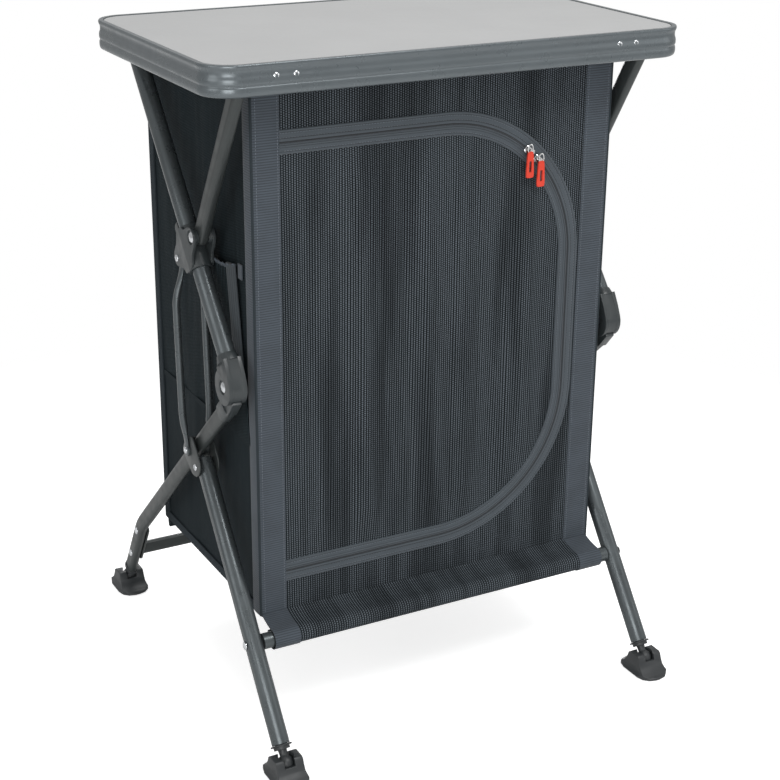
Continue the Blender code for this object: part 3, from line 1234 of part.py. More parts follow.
# Flap in front of the base, with a sleeve round the front stretcher
def front_flap():
    sleeve = FRONT_STRETCHER_RADIUS + FLAP_SLEEVE_GAP + FLAP_CLOTH / 2
    start = Vector((-CABINET_FRONT - CLOTH, BOTTOM_Z - CLEARANCE * 2 - FLAP_CLOTH / 2))
    centre = FRONT_STRETCHER_AT
    towards = start - centre
    tangent = math.atan2(towards.y, towards.x) + math.acos(min(sleeve / towards.length, 1.0))
    points = [tuple(start), ((start.x + centre.x + sleeve * math.cos(tangent)) / 2,
                             (start.y + centre.y + sleeve * math.sin(tangent)) / 2)]
    sweep = math.radians(300)
    for i in range(15):
        angle = tangent + sweep * i / 14
        points.append((centre.x + sleeve * math.cos(angle), centre.y + sleeve * math.sin(angle)))
    work = bmesh.new()
    rows = [[work.verts.new((x, y, z)) for y, z in points] for x in (-CABINET_X, CABINET_X)]
    for i in range(len(points) - 1):
        work.faces.new((rows[0][i], rows[1][i], rows[1][i + 1], rows[0][i + 1]))
    mesh = bpy.data.meshes.new("flap")
    work.to_mesh(mesh)
    work.free()
    rough = shape(mesh)
    solid = rough.modifiers.new("thickness", "SOLIDIFY")
    solid.thickness = FLAP_CLOTH
    solid.offset = 0
    made = tidied(evaluated(rough))
    discard(rough)
    return shape(made)


keep("front_flap", front_flap(), MESH_GREY, origin)


def side_pocket():
    """Pouch on the outside of the left side panel, open at the top."""
    wall = -CABINET_X - POCKET_CLOTH / 2 - CLEARANCE * 2

    def place(u, v):
        swell = slack(u) ** 0.6 * (1 - v) ** 0.55 * POCKET_BULGE
        front = POCKET_TOP_FRONT + (POCKET_LOW_FRONT - POCKET_TOP_FRONT) * v
        return wall - swell, -front + (front - POCKET_REAR) * u, \
            -POCKET_TOP_DROP - (POCKET_BOTTOM_DROP - POCKET_TOP_DROP) * v

    return sheet(8, 6, place, POCKET_CLOTH)


keep("side_pocket", side_pocket(), BOARD_GREY, origin)


# Base board and shelves, stiff panels inside the cloth
def board(drop):
    half_x = CABINET_X - CLOTH - BOARD_MARGIN
    front = -CABINET_FRONT + CLOTH / 2 + BOARD_MARGIN
    rear = CABINET_REAR - CLOTH - 1.5 * CLEARANCE
    outline = [(-half_x, front), (half_x, front), (half_x, rear), (-half_x, rear)]
    return plate(outline, BOARD_THICKNESS, Matrix.Translation(Vector((0, 0, -drop))))


for board_name, board_drop in (("base_board", CABINET_BOTTOM_DROP - BOARD_THICKNESS / 2),
                               ("middle_shelf", MIDDLE_SHELF_DROP), ("upper_shelf", UPPER_SHELF_DROP)):
    keep(board_name, board(board_drop), BOARD_GREY, origin, smooth=False)

# Zip sliders on the tape's upper corner, with moulded pulls that hang from them
CORNER_X = DOOR_RIGHT - ZIP_WIDTH - DOOR_CORNER_RADIUS
CORNER_Z = -DOOR_TOP_DROP - DOOR_CORNER_RADIUS
SLIDER_BACK = -CABINET_FRONT - CLOTH / 2 - ZIP_THICKNESS - 2 * CLEARANCE


def slider_place(angle):
    """Frame on the zip's centre line: a along the zip, b square to it, c towards the viewer."""
    x = CORNER_X + DOOR_CORNER_RADIUS * math.cos(angle)
    z = CORNER_Z + DOOR_CORNER_RADIUS * math.sin(angle)
    spin = Matrix.Rotation(angle - math.pi / 2, 4, "Z")
    return Matrix(((1, 0, 0, x), (0, 0, -1, SLIDER_BACK - SLIDER_THICKNESS / 2), (0, 1, 0, z),
                   (0, 0, 0, 1))) @ spin


def slider(angle):
    frame = slider_place(angle)
    body = plate(rounded([(-SLIDER_LENGTH / 2, -SLIDER_WIDTH * 0.34), (SLIDER_LENGTH / 2, -SLIDER_WIDTH / 2),
                          (SLIDER_LENGTH / 2, SLIDER_WIDTH / 2), (-SLIDER_LENGTH / 2, SLIDER_WIDTH * 0.34)],
                         SLIDER_BRIDGE_WALL, 2), SLIDER_THICKNESS, frame)
    tall = SLIDER_BRIDGE + SLIDER_BRIDGE_WALL
    start = SLIDER_THICKNESS / 2 - FINE_EDGE
    half = SLIDER_LENGTH * 0.36
    ring = [(-half, start), (half, start), (half * 0.8, start + tall), (-half * 0.8, start + tall)]
    hole_half = half - SLIDER_BRIDGE_WALL * 1.4
    hole = [(-hole_half, start + FINE_EDGE), (hole_half, start + FINE_EDGE),
            (hole_half * 0.8, start + tall - SLIDER_BRIDGE_WALL),
            (-hole_half * 0.8, start + tall - SLIDER_BRIDGE_WALL)]
    stand = frame @ Matrix(((1, 0, 0, 0), (0, 0, -1, 0), (0, 1, 0, 0), (0, 0, 0, 1)))
    return union(body, plate(ring, 2 * SLIDER_BRIDGE_WALL, stand, holes=(hole,)))


def pull_point(angle):
    """Middle of the bridge's bar, which the pull's ring goes round."""
    return slider_place(angle) @ Vector((0, 0, SLIDER_THICKNESS / 2 - FINE_EDGE + SLIDER_BRIDGE
                                         + SLIDER_BRIDGE_WALL / 2))


def pull(angle, lean):
    """Moulded pull with a ring round the slider's bridge and a long window."""
    centre = pull_point(angle)
    across = slider_place(angle)
    across.translation = centre
    ring = plate(circle(0, 0, PULL_RING, 12), PULL_NECK, across @ side_plane(),
                 holes=(circle(0, 0, PULL_HOLE, 12),))
    top = across @ Vector((0, -(PULL_RING + PULL_HOLE) / 2, 0))
    hang = Matrix(((1, 0, 0, top.x), (0, 0, -1, top.y), (0, 1, 0, top.z), (0, 0, 0, 1))) \
        @ Matrix.Rotation(lean, 4, "Z")
    half = PULL_WIDTH / 2
    body = plate(rounded([(-PULL_NECK / 2, 0), (PULL_NECK / 2, 0), (PULL_NECK * 0.62, -PULL_LENGTH * 0.12),
                          (half, -PULL_LENGTH * 0.38), (half * 0.84, -PULL_LENGTH + PULL_RING),
                          (-half * 0.84, -PULL_LENGTH + PULL_RING), (-half, -PULL_LENGTH * 0.38),
                          (-PULL_NECK * 0.62, -PULL_LENGTH * 0.12)], PULL_WINDOW, 2), PULL_THICKNESS, hang,
                 holes=(rounded(rectangle(PULL_WINDOW, PULL_LENGTH * 0.42, 0, -PULL_LENGTH * 0.6),
                                PULL_WINDOW * 0.45, 2),))
    return union(body, ring)


for slider_name, slider_angle, slider_lean in (("upper", UPPER_SLIDER_ANGLE, math.radians(-4)),
                                               ("lower", LOWER_SLIDER_ANGLE, math.radians(5))):
    keep(slider_name + "_slider", slider(slider_angle), ZINC, origin)
    at = pull_point(slider_angle)
    pull_joint = empty(slider_name + "_pull_joint", origin, *at)
    keep(slider_name + "_pull", pull(slider_angle, slider_lean), RED, pull_joint)
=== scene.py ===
"""Looks for the folding camp cupboard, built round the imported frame."""
import json
from math import acos, atan2, copysign, cos, hypot, pi, radians, sin

import bpy
import bmesh
import numpy as np
from mathutils import Matrix, Vector

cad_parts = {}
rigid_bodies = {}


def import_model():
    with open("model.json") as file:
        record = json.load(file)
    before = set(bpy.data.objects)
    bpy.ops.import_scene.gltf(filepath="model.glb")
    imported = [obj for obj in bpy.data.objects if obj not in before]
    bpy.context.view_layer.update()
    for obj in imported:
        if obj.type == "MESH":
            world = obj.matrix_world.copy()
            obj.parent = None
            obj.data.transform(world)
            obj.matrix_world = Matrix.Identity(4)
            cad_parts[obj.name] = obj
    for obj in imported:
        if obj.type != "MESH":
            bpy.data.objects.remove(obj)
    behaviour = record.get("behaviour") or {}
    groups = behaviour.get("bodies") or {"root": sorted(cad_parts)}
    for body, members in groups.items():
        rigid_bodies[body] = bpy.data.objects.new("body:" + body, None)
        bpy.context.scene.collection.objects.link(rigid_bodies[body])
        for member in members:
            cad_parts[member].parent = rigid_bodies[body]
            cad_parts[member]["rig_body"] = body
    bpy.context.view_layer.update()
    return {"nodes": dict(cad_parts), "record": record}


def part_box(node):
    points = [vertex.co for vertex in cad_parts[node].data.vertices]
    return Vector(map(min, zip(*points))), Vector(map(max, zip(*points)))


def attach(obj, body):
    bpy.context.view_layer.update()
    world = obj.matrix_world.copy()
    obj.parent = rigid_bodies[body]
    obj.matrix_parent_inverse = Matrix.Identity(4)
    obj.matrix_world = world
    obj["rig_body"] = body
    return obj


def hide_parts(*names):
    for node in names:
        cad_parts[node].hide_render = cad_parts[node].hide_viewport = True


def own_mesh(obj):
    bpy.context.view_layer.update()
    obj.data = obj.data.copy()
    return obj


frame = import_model()

# All lengths are in metres. The shapes are given in the table's frame, whose origin is the middle of the table's top
# face. SHIFT_Y and TABLE_Z carry them into the row's frame.
SHIFT_Y = -0.021133
TABLE_Z = 0.84

# The cabinet's cloth: its planes, its seam, the webbing's inner edges, and the cloth's thickness
CABINET_X = 0.24
FRONT_Y = -0.1305
REAR_Y = 0.187
TOP_Z = -0.0262
UNDER_RIM = -0.0353
SEAM_Z = -0.469
BOTTOM_Z = -0.687
SIDE_BAND = 0.021
LEFT_WEB = -0.206
RIGHT_WEB = 0.204
FLAP_WEB = 0.205
CLOTH = 0.0012

# The door: straight at its left, hinged edge, with two round corners at its right
DOOR_LEFT = -0.201
DOOR_RIGHT = 0.187
DOOR_TOP = -0.101
DOOR_BOTTOM = -0.632
DOOR_RADIUS = 0.179
CORNER_X = DOOR_RIGHT - DOOR_RADIUS
CORNER_TOP = DOOR_TOP - DOOR_RADIUS
CORNER_LOW = DOOR_BOTTOM + DOOR_RADIUS
HOLE_MARGIN = 0.006
TAPE_LEFT = -0.2066
FORWARD = (0.0, -1.0, 0.0)

# The frame and the table's rim; pairs are (y, z)
STRETCHER = (-0.1606, -0.7049)
FRAME_X = 0.264
ROD_TOP = np.array((0.0089, -0.2617))
ROD_LOW = np.array((-0.001, -0.5074))
LEG_PIN = (-0.0237, -0.5226)
REAR_RIVETS = ((0.2306, -0.7231), (0.2596, -0.771))
FACE_Y = 0.188
HALF_TOP = 0.31
TOP_CORNER = 0.038
RIM_HEIGHT = 0.035
RIM_WALL = 0.009
RAIL_X = 0.2216
RIVET_STEP = 0.0117
RIVET_DROP = -0.0145
SLIDER_ANGLE = radians(-42.8)


# ---- shader helpers
def add_node(tree, kind, inputs=(), **settings):
    """New shader node with its settings; each input named is set, or linked to another node's output."""
    made = tree.nodes.new("ShaderNode" + kind)
    for key, value in settings.items():
        setattr(made, key, value)
    for key, value in dict(inputs).items():
        if isinstance(value, bpy.types.NodeSocket):
            tree.links.new(value, made.inputs[key])
        else:
            made.inputs[key].default_value = value
    return made


class Graph:
    """A Principled material and short ways to add nodes to it."""

    def __init__(self, name, colour, roughness, metallic=0.0):
        self.made = bpy.data.materials.new(name)
        self.made.use_nodes = True
        self.tree = self.made.node_tree
        self.shader = self.tree.nodes["Principled BSDF"]
        self.set("Base Color", (*colour, 1.0))
        self.set("Roughness", roughness)
        self.set("Metallic", metallic)
        self.made.diffuse_color = (*colour, 1.0)

    def set(self, socket, value):
        if isinstance(value, bpy.types.NodeSocket):
            self.tree.links.new(value, self.shader.inputs[socket])
        else:
            self.shader.inputs[socket].default_value = value

    def node(self, kind, inputs=(), **settings):
        return add_node(self.tree, kind, inputs, **settings)

    def math(self, operation, first, second=0.0, clamp=False):
        return self.node("Math", {0: first, 1: second}, operation=operation, use_clamp=clamp).outputs[0]

    def times(self, first, second):
        return self.math("MULTIPLY", first, second)

    def wave(self, value, pitch, phase=0.0):
        """Absolute sine, 0 at the edges of each pitch and 1 in its middle."""
        turned = self.times(value, pi / pitch)
        if not isinstance(phase, float) or phase:
            turned = self.math("ADD", turned, phase)
        return self.math("ABSOLUTE", self.math("SINE", turned))

    def ramp(self, value, low, high, out_low=0.0, out_high=1.0):
        return self.node("MapRange", {0: value, 1: low, 2: high, 3: out_low, 4: out_high},
                         interpolation_type="SMOOTHSTEP").outputs[0]

    def mix(self, share, first, second):
        """Mix of two plain colours."""
        return self.node("Mix", {0: share, 6: (*first, 1.0), 7: (*second, 1.0)}, data_type="RGBA").outputs[2]

    def uv(self):
        made = self.node("UVMap", uv_map="UVMap")
        split = self.node("SeparateXYZ", {0: made.outputs[0]})
        return made.outputs[0], split.outputs[0], split.outputs[1]

    def place(self):
        return self.node("TexCoord").outputs["Object"]

    def noise(self, vector, scale, detail=2.0, roughness=0.5):
        return self.node("TexNoise", {"Vector": vector, "Scale": scale, "Detail": detail,
                                      "Roughness": roughness}).outputs[0]

    def streaks(self, vector, across, along, detail=2.0, lean=0.0):
        """Noise with its own scale across and along the cloth."""
        turned = self.node("Mapping", {0: vector, 2: (0.0, 0.0, lean), 3: (across, along, 1.0)})
        return self.noise(turned.outputs[0], 1.0, detail)

    def bump(self, height, distance, strength, normal=None):
        inputs = {"Height": height, "Distance": distance, "Strength": strength}
        if normal is not None:
            inputs["Normal"] = normal
        self.set("Normal", self.node("Bump", inputs).outputs[0])


def tint(colour, factor):
    return tuple(min(c * factor, 1.0) for c in colour)


def moulded(name, colour, roughness, metallic=0.0, grain=900.0, depth=0.00005, spread=0.12, coat=0.0, edge=0.0):
    """Satin paint or plastic: fine grain in the surface, with slight changes of shade and gloss."""
    g = Graph(name, colour, roughness, metallic)
    at = g.place()
    cloud = g.noise(at, 14.0, 3.0)
    fine = g.noise(at, grain)
    g.set("Base Color", g.mix(g.ramp(cloud, 0.3, 0.7), tint(colour, 1 - spread), tint(colour, 1 + spread)))
    g.set("Roughness", g.ramp(g.noise(at, 60.0, 3.0), 0.3, 0.7, roughness - 0.05, roughness + 0.06))
    g.bump(fine, depth, 0.6, g.node("Bevel", {"Radius": edge}, samples=4).outputs[0] if edge else None)
    if coat:
        g.set("Coat Weight", coat)
        g.set("Coat Roughness", 0.25)
    return g.made


def mesh_cloth(name, dark, light, pitch=0.0032, cross=0.0027, streaks=(0.89, 1.1), folds=(0.6, 1.28)):
    """Open ribbed mesh: thick yarns along V with a bead at each crossing, painted lighter there as a painted highlight,
    thin yarns across, and dark gaps.
    """
    g = Graph(name, light, 0.75)
    vector, u, v = g.uv()
    u = g.math("ADD", u, g.times(g.math("SUBTRACT", g.streaks(vector, 30.0, 2.5), 0.5), 0.003))
    rib = g.wave(u, pitch)
    row = g.math("FLOOR", g.math("DIVIDE", u, pitch))
    odd = g.times(g.math("MODULO", g.math("ABSOLUTE", row), 2.0), pi / 2)
    weft = g.wave(v, cross, odd)
    yarn = g.ramp(rib, 0.46, 0.9)
    # The thick yarn is painted lightest at each crossing and darker between: a painted highlight on each bead
    knot = g.times(yarn, g.ramp(weft, 0.3, 0.88, 0.2, 1.0))
    thread = g.times(g.ramp(weft, 0.75, 1.0), 0.14)
    cover = g.math("MAXIMUM", knot, thread)
    # Lengthwise darker and lighter bands: partly moiré and tone that differs at random, partly painted shade and light
    # of slack ribs; the widest bands, set by folds, are painted fold shade
    cover = g.times(cover, g.ramp(g.streaks(vector, 85.0, 3.4, 3.0), 0.32, 0.68, *streaks))
    cover = g.times(cover, g.ramp(g.streaks(vector, 70.0, 9.0, lean=0.16), 0.34, 0.66, *streaks))
    cover = g.times(cover, g.ramp(g.streaks(vector, 19.0, 2.1), 0.36, 0.64, *folds))
    g.set("Base Color", g.mix(cover, dark, light))
    g.set("Roughness", g.ramp(cover, 0.0, 1.0, 0.92, 0.62))
    g.set("Specular IOR Level", 0.12)
    g.bump(cover, 0.0006, 0.8)
    return g.made


def woven(name, colour, pitch=0.0011, across=0.0009, contrast=0.25, depth=0.00018, ribs="V", gloss=0.5, sheen=0.15):
    """Tight cloth; webbing's ribs run across its length."""
    g = Graph(name, colour, 0.8)
    vector, u, v = g.uv()
    if ribs == "U":
        u, v = v, u
    rib = g.wave(v, pitch)
    fine = g.wave(u, across)
    weave = g.times(g.ramp(rib, 0.0, 0.9, 0.35, 1.0), g.ramp(fine, 0.0, 0.8, 0.75, 1.0))
    cloud = g.noise(g.node("Mapping", {0: vector, 3: (9.0, 9.0, 1.0)}).outputs[0], 3.0, 4.0)
    shade = g.times(weave, g.ramp(cloud, 0.3, 0.7, 0.9, 1.08))
    g.set("Base Color", g.mix(shade, tint(colour, 1 - contrast * 2), tint(colour, 1 + contrast * 0.5)))
    g.set("Specular IOR Level", gloss)
    g.set("Sheen Weight", sheen)
    g.set("Sheen Roughness", 0.4)
    g.bump(weave, depth, 0.8)
    return g.made


def laminate():
    """Pale worktop with fine specks and a faint cloud."""
    colour = (0.345, 0.348, 0.348)
    g = Graph("pale_laminate_look", colour, 0.5)
    at = g.place()
    speck = g.noise(at, 1400.0, 2.0, 0.6)
    cloud = g.noise(at, 6.0, 3.0)
    shade = g.math("ADD", g.times(g.math("SUBTRACT", speck, 0.5), 0.5), g.ramp(cloud, 0.3, 0.7, 0.35, 0.65))
    g.set("Base Color", g.mix(shade, tint(colour, 0.95), tint(colour, 1.05)))
    g.set("Roughness", g.ramp(g.noise(at, 18.0, 4.0), 0.3, 0.7, 0.46, 0.56))
    g.bump(speck, 0.00004, 0.5)
    return g.made


def metal(name, colour, roughness):
    """Bright metal with a slightly uneven gloss."""
    g = Graph(name, colour, roughness, 1.0)
    at = g.place()
    g.set("Roughness", g.ramp(g.noise(at, 240.0, 3.0), 0.3, 0.7, roughness - 0.06, roughness + 0.1))
    g.bump(g.noise(at, 700.0, 2.0), 0.00003, 0.5)
    return g.made


LAMINATE = laminate()
RIM = moulded("rim_look", (0.104, 0.121, 0.13), 0.3, 0.45, grain=300.0, depth=0.000001, spread=0.03, coat=0.3)
PAINT = moulded("tube_paint_look", (0.084, 0.096, 0.101), 0.3, 0.6, grain=1500.0, depth=0.00002, spread=0.08)
FLAT_PAINT = moulded("flat_paint_look", (0.04, 0.046, 0.046), 0.4, 0.3, grain=1500.0, depth=0.00002, spread=0.08,
                     edge=0.0012)
MOULD = moulded("moulding_look", (0.03, 0.036, 0.038), 0.38, grain=800.0, edge=0.0008)
RUBBER = moulded("foot_look", (0.024, 0.027, 0.029), 0.45, grain=600.0, depth=0.00006, edge=0.0012)
CHROME = metal("rivet_look", (0.66, 0.68, 0.7), 0.1)
ZINC = metal("slider_look", (0.72, 0.72, 0.72), 0.2)
RED = moulded("pull_look", (0.66, 0.04, 0.015), 0.35, grain=500.0, depth=0.00003, coat=0.1, edge=0.0006)
BUTTON = moulded("button_look", (0.32, 0.01, 0.018), 0.4, edge=0.0006)
MESH = mesh_cloth("mesh_look", (0.0018, 0.0025, 0.0031), (0.098, 0.116, 0.132))
SIDE_MESH = mesh_cloth("side_mesh_look", (0.0038, 0.0062, 0.0074), (0.025, 0.037, 0.043), 0.0028, 0.0019,
                       (0.85, 1.1), (0.8, 1.15))
PLAIN = woven("plain_cloth_look", (0.013, 0.0185, 0.0215), 0.001, 0.001, 0.2, gloss=0.1, sheen=0.0)
DARK_BAND = woven("dark_binding_look", (0.026, 0.033, 0.038), 0.0014, 0.001, 0.25, gloss=0.1, sheen=0.0)
BAND_CLOTH = woven("webbing_look", (0.04, 0.051, 0.064), 0.003, 0.0012, 0.55, 0.0004)
TAPE = woven("zip_tape_look", (0.05, 0.062, 0.073), 0.0011, 0.0013, 0.24, 0.00014, "U")
# Dark look of the zip's groove strips, which paint the grooves' shade
GROOVE_SHADE = woven("zip_groove_look", (0.012, 0.014, 0.017), 0.0013, 0.004, 0.3, 0.0002, "U")
COIL = woven("zip_coil_look", (0.02, 0.024, 0.029), 0.0015, 0.004, 0.5, 0.0004, "U")
ELASTIC = woven("elastic_look", (0.032, 0.04, 0.046), 0.0036, 0.0016, 0.45, 0.0004)
THREAD = moulded("thread_look", (0.135, 0.152, 0.175), 0.7, grain=2500.0)
BOARD = woven("board_cloth_look", (0.02, 0.022, 0.025), 0.0012, 0.0012, 0.2)


# ---- mesh helpers
def placed(points):
    """Points of the table's frame, in the row's frame."""
    return np.asarray(points, float) + (0.0, SHIFT_Y, TABLE_Z)


def run_along(points):
    """Distance of each point from the first, along the line through them."""
    return np.concatenate([[0], np.cumsum(np.linalg.norm(np.diff(points, axis=0), axis=1))])


def grid(rows, columns):
    return np.meshgrid(rows, columns, indexing="ij")


def show(name, data):
    """New object in the scene."""
    made = bpy.data.objects.new(name, data)
    bpy.context.scene.collection.objects.link(made)
    return made


def finish_mesh(name, verts, faces, uvs, look, sharp=38):
    """New mesh in the scene; sharp is the angle, in degrees, over which an edge isn't shaded smooth."""
    mesh = bpy.data.meshes.new(name)
    mesh.from_pydata([tuple(v) for v in verts], [], faces)
    mesh.validate()
    if uvs is not None:
        layer = mesh.uv_layers.new(name="UVMap")
        index = np.zeros(len(mesh.loops), np.int32)
        mesh.loops.foreach_get("vertex_index", index)
        layer.data.foreach_set("uv", np.asarray(uvs, np.float32)[index].ravel())
    mesh.shade_smooth()
    mesh.set_sharp_from_angle(angle=radians(sharp))
    mesh.materials.append(look)
    return show(name, mesh)


def solid(name, verts, faces, look, sharp=38, uvs=None):
    """Closed mesh with all its faces turned outwards."""
    made = finish_mesh(name, verts, faces, uvs, look, sharp)
    work = bmesh.new()
    work.from_mesh(made.data)
    bmesh.ops.recalc_face_normals(work, faces=work.faces)
    work.to_mesh(made.data)
    work.free()
    return made


def tube(rows, count, base=0, closed=False, turned=False):
    """Faces between rows of count points. A closed tube joins its last row to its first, an open one has two ends.
    turned lists each face's corners the other way round, which changes the triangles of the ends."""
    faces = []
    for i in range(rows if closed else rows - 1):
        for j in range(count):
            a, b, k = base + i * count, base + (i + 1) % rows * count, (j + 1) % count
            faces.append((a + j, b + j, b + k, a + k) if turned else (a + j, a + k, b + k, b + j))
    if not closed:
        first, last = range(base, base + count), range(base + (rows - 1) * count, base + rows * count)
        faces += [tuple(first), tuple(reversed(last))] if turned else [tuple(last), tuple(reversed(first))]
    return faces


def around(count):
    """Angles of count points round a circle."""
    return [2 * pi * j / count for j in range(count)]


def oval(wide, high, out_by=0.0, up_by=0.0):
    """Section of a cord, as (out, up) points."""
    return [(out_by + wide * cos(a), up_by + high * sin(a)) for a in around(8)]


def cloth(name, points, uvs, thickness, look, keep=None, flip=False):
    """Closed sheet from grids of its middle points' x, y and z in the table's frame and of its U and V in metres.
    keep says which cells of the grid have cloth."""
    P = placed(np.stack(points, -1))
    UV = np.stack(uvs, -1)
    n, m = P.shape[:2]
    along = np.gradient(P, axis=0)
    across = np.gradient(P, axis=1)
    N = np.cross(along, across)
    N /= np.maximum(np.linalg.norm(N, axis=2, keepdims=True), 1e-12)
    if flip:
        N = -N
    front = (P + N * thickness / 2).reshape(-1, 3)
    back = (P - N * thickness / 2).reshape(-1, 3)
    total = n * m
    faces = []
    kept = np.ones((n - 1, m - 1), bool) if keep is None else keep

    def here(i, j):
        return 0 <= i < n - 1 and 0 <= j < m - 1 and kept[i, j]

    def at(i, j):
        return i * m + j

    for i in range(n - 1):
        for j in range(m - 1):
            if not kept[i, j]:
                continue
            quad = [at(i, j), at(i + 1, j), at(i + 1, j + 1), at(i, j + 1)]
            if flip:
                quad.reverse()
            faces.append(tuple(quad))
            faces.append(tuple(k + total for k in reversed(quad)))
            for a, b, other in ((at(i, j), at(i + 1, j), (i, j - 1)), (at(i + 1, j), at(i + 1, j + 1), (i + 1, j)),
                                (at(i + 1, j + 1), at(i, j + 1), (i, j + 1)), (at(i, j + 1), at(i, j), (i - 1, j))):
                if not here(*other):
                    edge = (b, a, a + total, b + total)
                    faces.append(tuple(reversed(edge)) if flip else edge)
    used = sorted({k for f in faces for k in f})
    number = {k: i for i, k in enumerate(used)}
    verts = np.concatenate([front, back])[used]
    uv = np.concatenate([UV.reshape(-1, 2)] * 2)[used]
    faces = [tuple(number[k] for k in f) for f in faces]
    return finish_mesh(name, verts, faces, uv, look)


def sweep(name, path, sides, section, look, lift=None):
    """Solid strip: section of (out, up) points swept along a path.
    path, sides and lift are lists of points and of directions for out and up, in the table's frame."""
    path = np.asarray(path, float)
    sides = np.asarray(sides, float)
    up = np.asarray(same(FORWARD, path) if lift is None else lift, float)
    section = np.asarray(section, float)
    verts = (path[:, None] + sides[:, None] * section[None, :, :1] + up[:, None] * section[None, :, 1:]).reshape(-1, 3)
    uvs = np.stack(grid(run_along(path), run_along(section)), -1).reshape(-1, 2)
    return solid(name, placed(verts), tube(len(path), len(section), turned=True), look, uvs=uvs)


def stitches(name, path, up, pitch, length, radius):
    """Row of thread stitches lying along a path, each a small bead."""
    path = np.asarray(path, float)
    run = run_along(path)
    verts, faces, count = [], [], 5
    for i in range(int(run[-1] // pitch)):
        low, high = i * pitch + (pitch - length) / 2, i * pitch + (pitch + length) / 2
        ends = [np.array([np.interp(s, run, path[:, c]) for c in range(3)])
                for s in (low, low + length * 0.25, high - length * 0.25, high)]
        axis = ends[-1] - ends[0]
        axis /= np.linalg.norm(axis)
        lift = np.asarray(up, float)
        side = np.cross(axis, lift)
        faces += tube(4, count, len(verts))
        for point, share, rise in zip(ends, (0.35, 1.0, 1.0, 0.35), (-0.4, 0.35, 0.35, -0.4)):
            for angle in around(count):
                verts.append(point + lift * radius * rise + (side * cos(angle) + lift * sin(angle)) * radius * share)
    return solid(name, placed(verts), faces, THREAD)


def line(start, end, step=0.006):
    start, end = np.asarray(start, float), np.asarray(end, float)
    count = max(int(np.linalg.norm(end - start) / step), 2)
    return start + (end - start) * np.linspace(0, 1, count + 1)[:, None]


def same(direction, path):
    return np.tile(np.asarray(direction, float), (len(path), 1))


def belongs(made, body, slot, *nodes):
    """Put a piece on its body; slot is not used. It takes the place of the CAD nodes named."""
    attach(made, body)
    if nodes:
        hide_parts(*nodes)
    return made


def on_cabinet(made, slot="band_cloth", *nodes, body="cabinet_top"):
    """Cloth of the cabinet, put on its body with a mesh of its own; the real cloth is squashed under the table when the
    frame folds.
    """
    belongs(made, body, slot, *nodes)
    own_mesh(made)
    return made


def strip(name, path, out, section, look, up):
    """Straight strip of the cabinet's cloth, with its width along out and its rise along up."""
    on_cabinet(sweep(name, path, same(out, path), section, look, same(up, path)))


def slack(t):
    """Nothing at the sewn edges, most between them."""
    return np.sin(np.pi * np.clip(t, 0, 1)) ** 0.7


def swing(s, pitch, phase=0.0):
    """Sine wave over a length."""
    return np.sin(2 * np.pi * s / pitch + phase)


# ---- front of the cabinet
def door_edge(steps=26, straight=0.02):
    """Points (x, z) and outward directions along the door's sewn edge, from upper left to lower left."""
    points, normals = [], []

    def arc(z, angles):
        for angle in angles:
            points.append((CORNER_X + DOOR_RADIUS * cos(angle), z + DOOR_RADIUS * sin(angle)))
            normals.append((cos(angle), sin(angle)))

    for x in np.arange(TAPE_LEFT, CORNER_X, straight):
        points.append((x, DOOR_TOP))
        normals.append((0.0, 1.0))
    arc(CORNER_TOP, [pi / 2 * (1 - i / steps) for i in range(steps + 1)])
    for z in np.arange(CORNER_TOP - straight, CORNER_LOW + straight * 0.3, -straight):
        points.append((DOOR_RIGHT, z))
        normals.append((1.0, 0.0))
    arc(CORNER_LOW, [-pi / 2 * i / steps for i in range(steps + 1)])
    for x in np.linspace(CORNER_X, TAPE_LEFT, 18)[1:]:
        points.append((x, DOOR_BOTTOM))
        normals.append((0.0, -1.0))
    return np.asarray(points), np.asarray(normals)


def off_hole(x, z):
    """How far a point is outside the front mesh's hole, which is a little larger than the door; negative inside."""
    if x > CORNER_X and z > CORNER_TOP:
        return hypot(x - CORNER_X, z - CORNER_TOP) - DOOR_RADIUS - HOLE_MARGIN
    if x > CORNER_X and z < CORNER_LOW:
        return hypot(x - CORNER_X, z - CORNER_LOW) - DOOR_RADIUS - HOLE_MARGIN
    return max(x - DOOR_RIGHT - HOLE_MARGIN, z - DOOR_TOP - HOLE_MARGIN, DOOR_BOTTOM - HOLE_MARGIN - z,
               DOOR_LEFT + 0.004 - x)


def ripple(x, z):
    """Fine vertical slack of the mesh, in metres, towards the viewer."""
    s = x + (0.006 * np.sin(5.1 * z + 1.2) + 0.004 * np.sin(11.7 * z + 40 * x))
    return 0.00055 * (swing(s, 0.0185) + 0.6 * swing(s, 0.0121, 1.9) + 0.5 * swing(s, 0.031, 0.4))


def broad(x, z):
    """Wide soft folds of the door, in metres."""
    s = x + 0.018 * (z + 0.35)
    drop = np.clip((DOOR_TOP - z) / (DOOR_TOP - DOOR_BOTTOM), 0, 1)
    return (0.0022 * swing(s, 0.118, 0.8) + 0.0014 * swing(s, 0.071, 2.6 + 1.5 * drop)
            + 0.0009 * swing(s, 0.047, 4.0 - 2.2 * drop)) * (0.8 + 0.7 * drop)


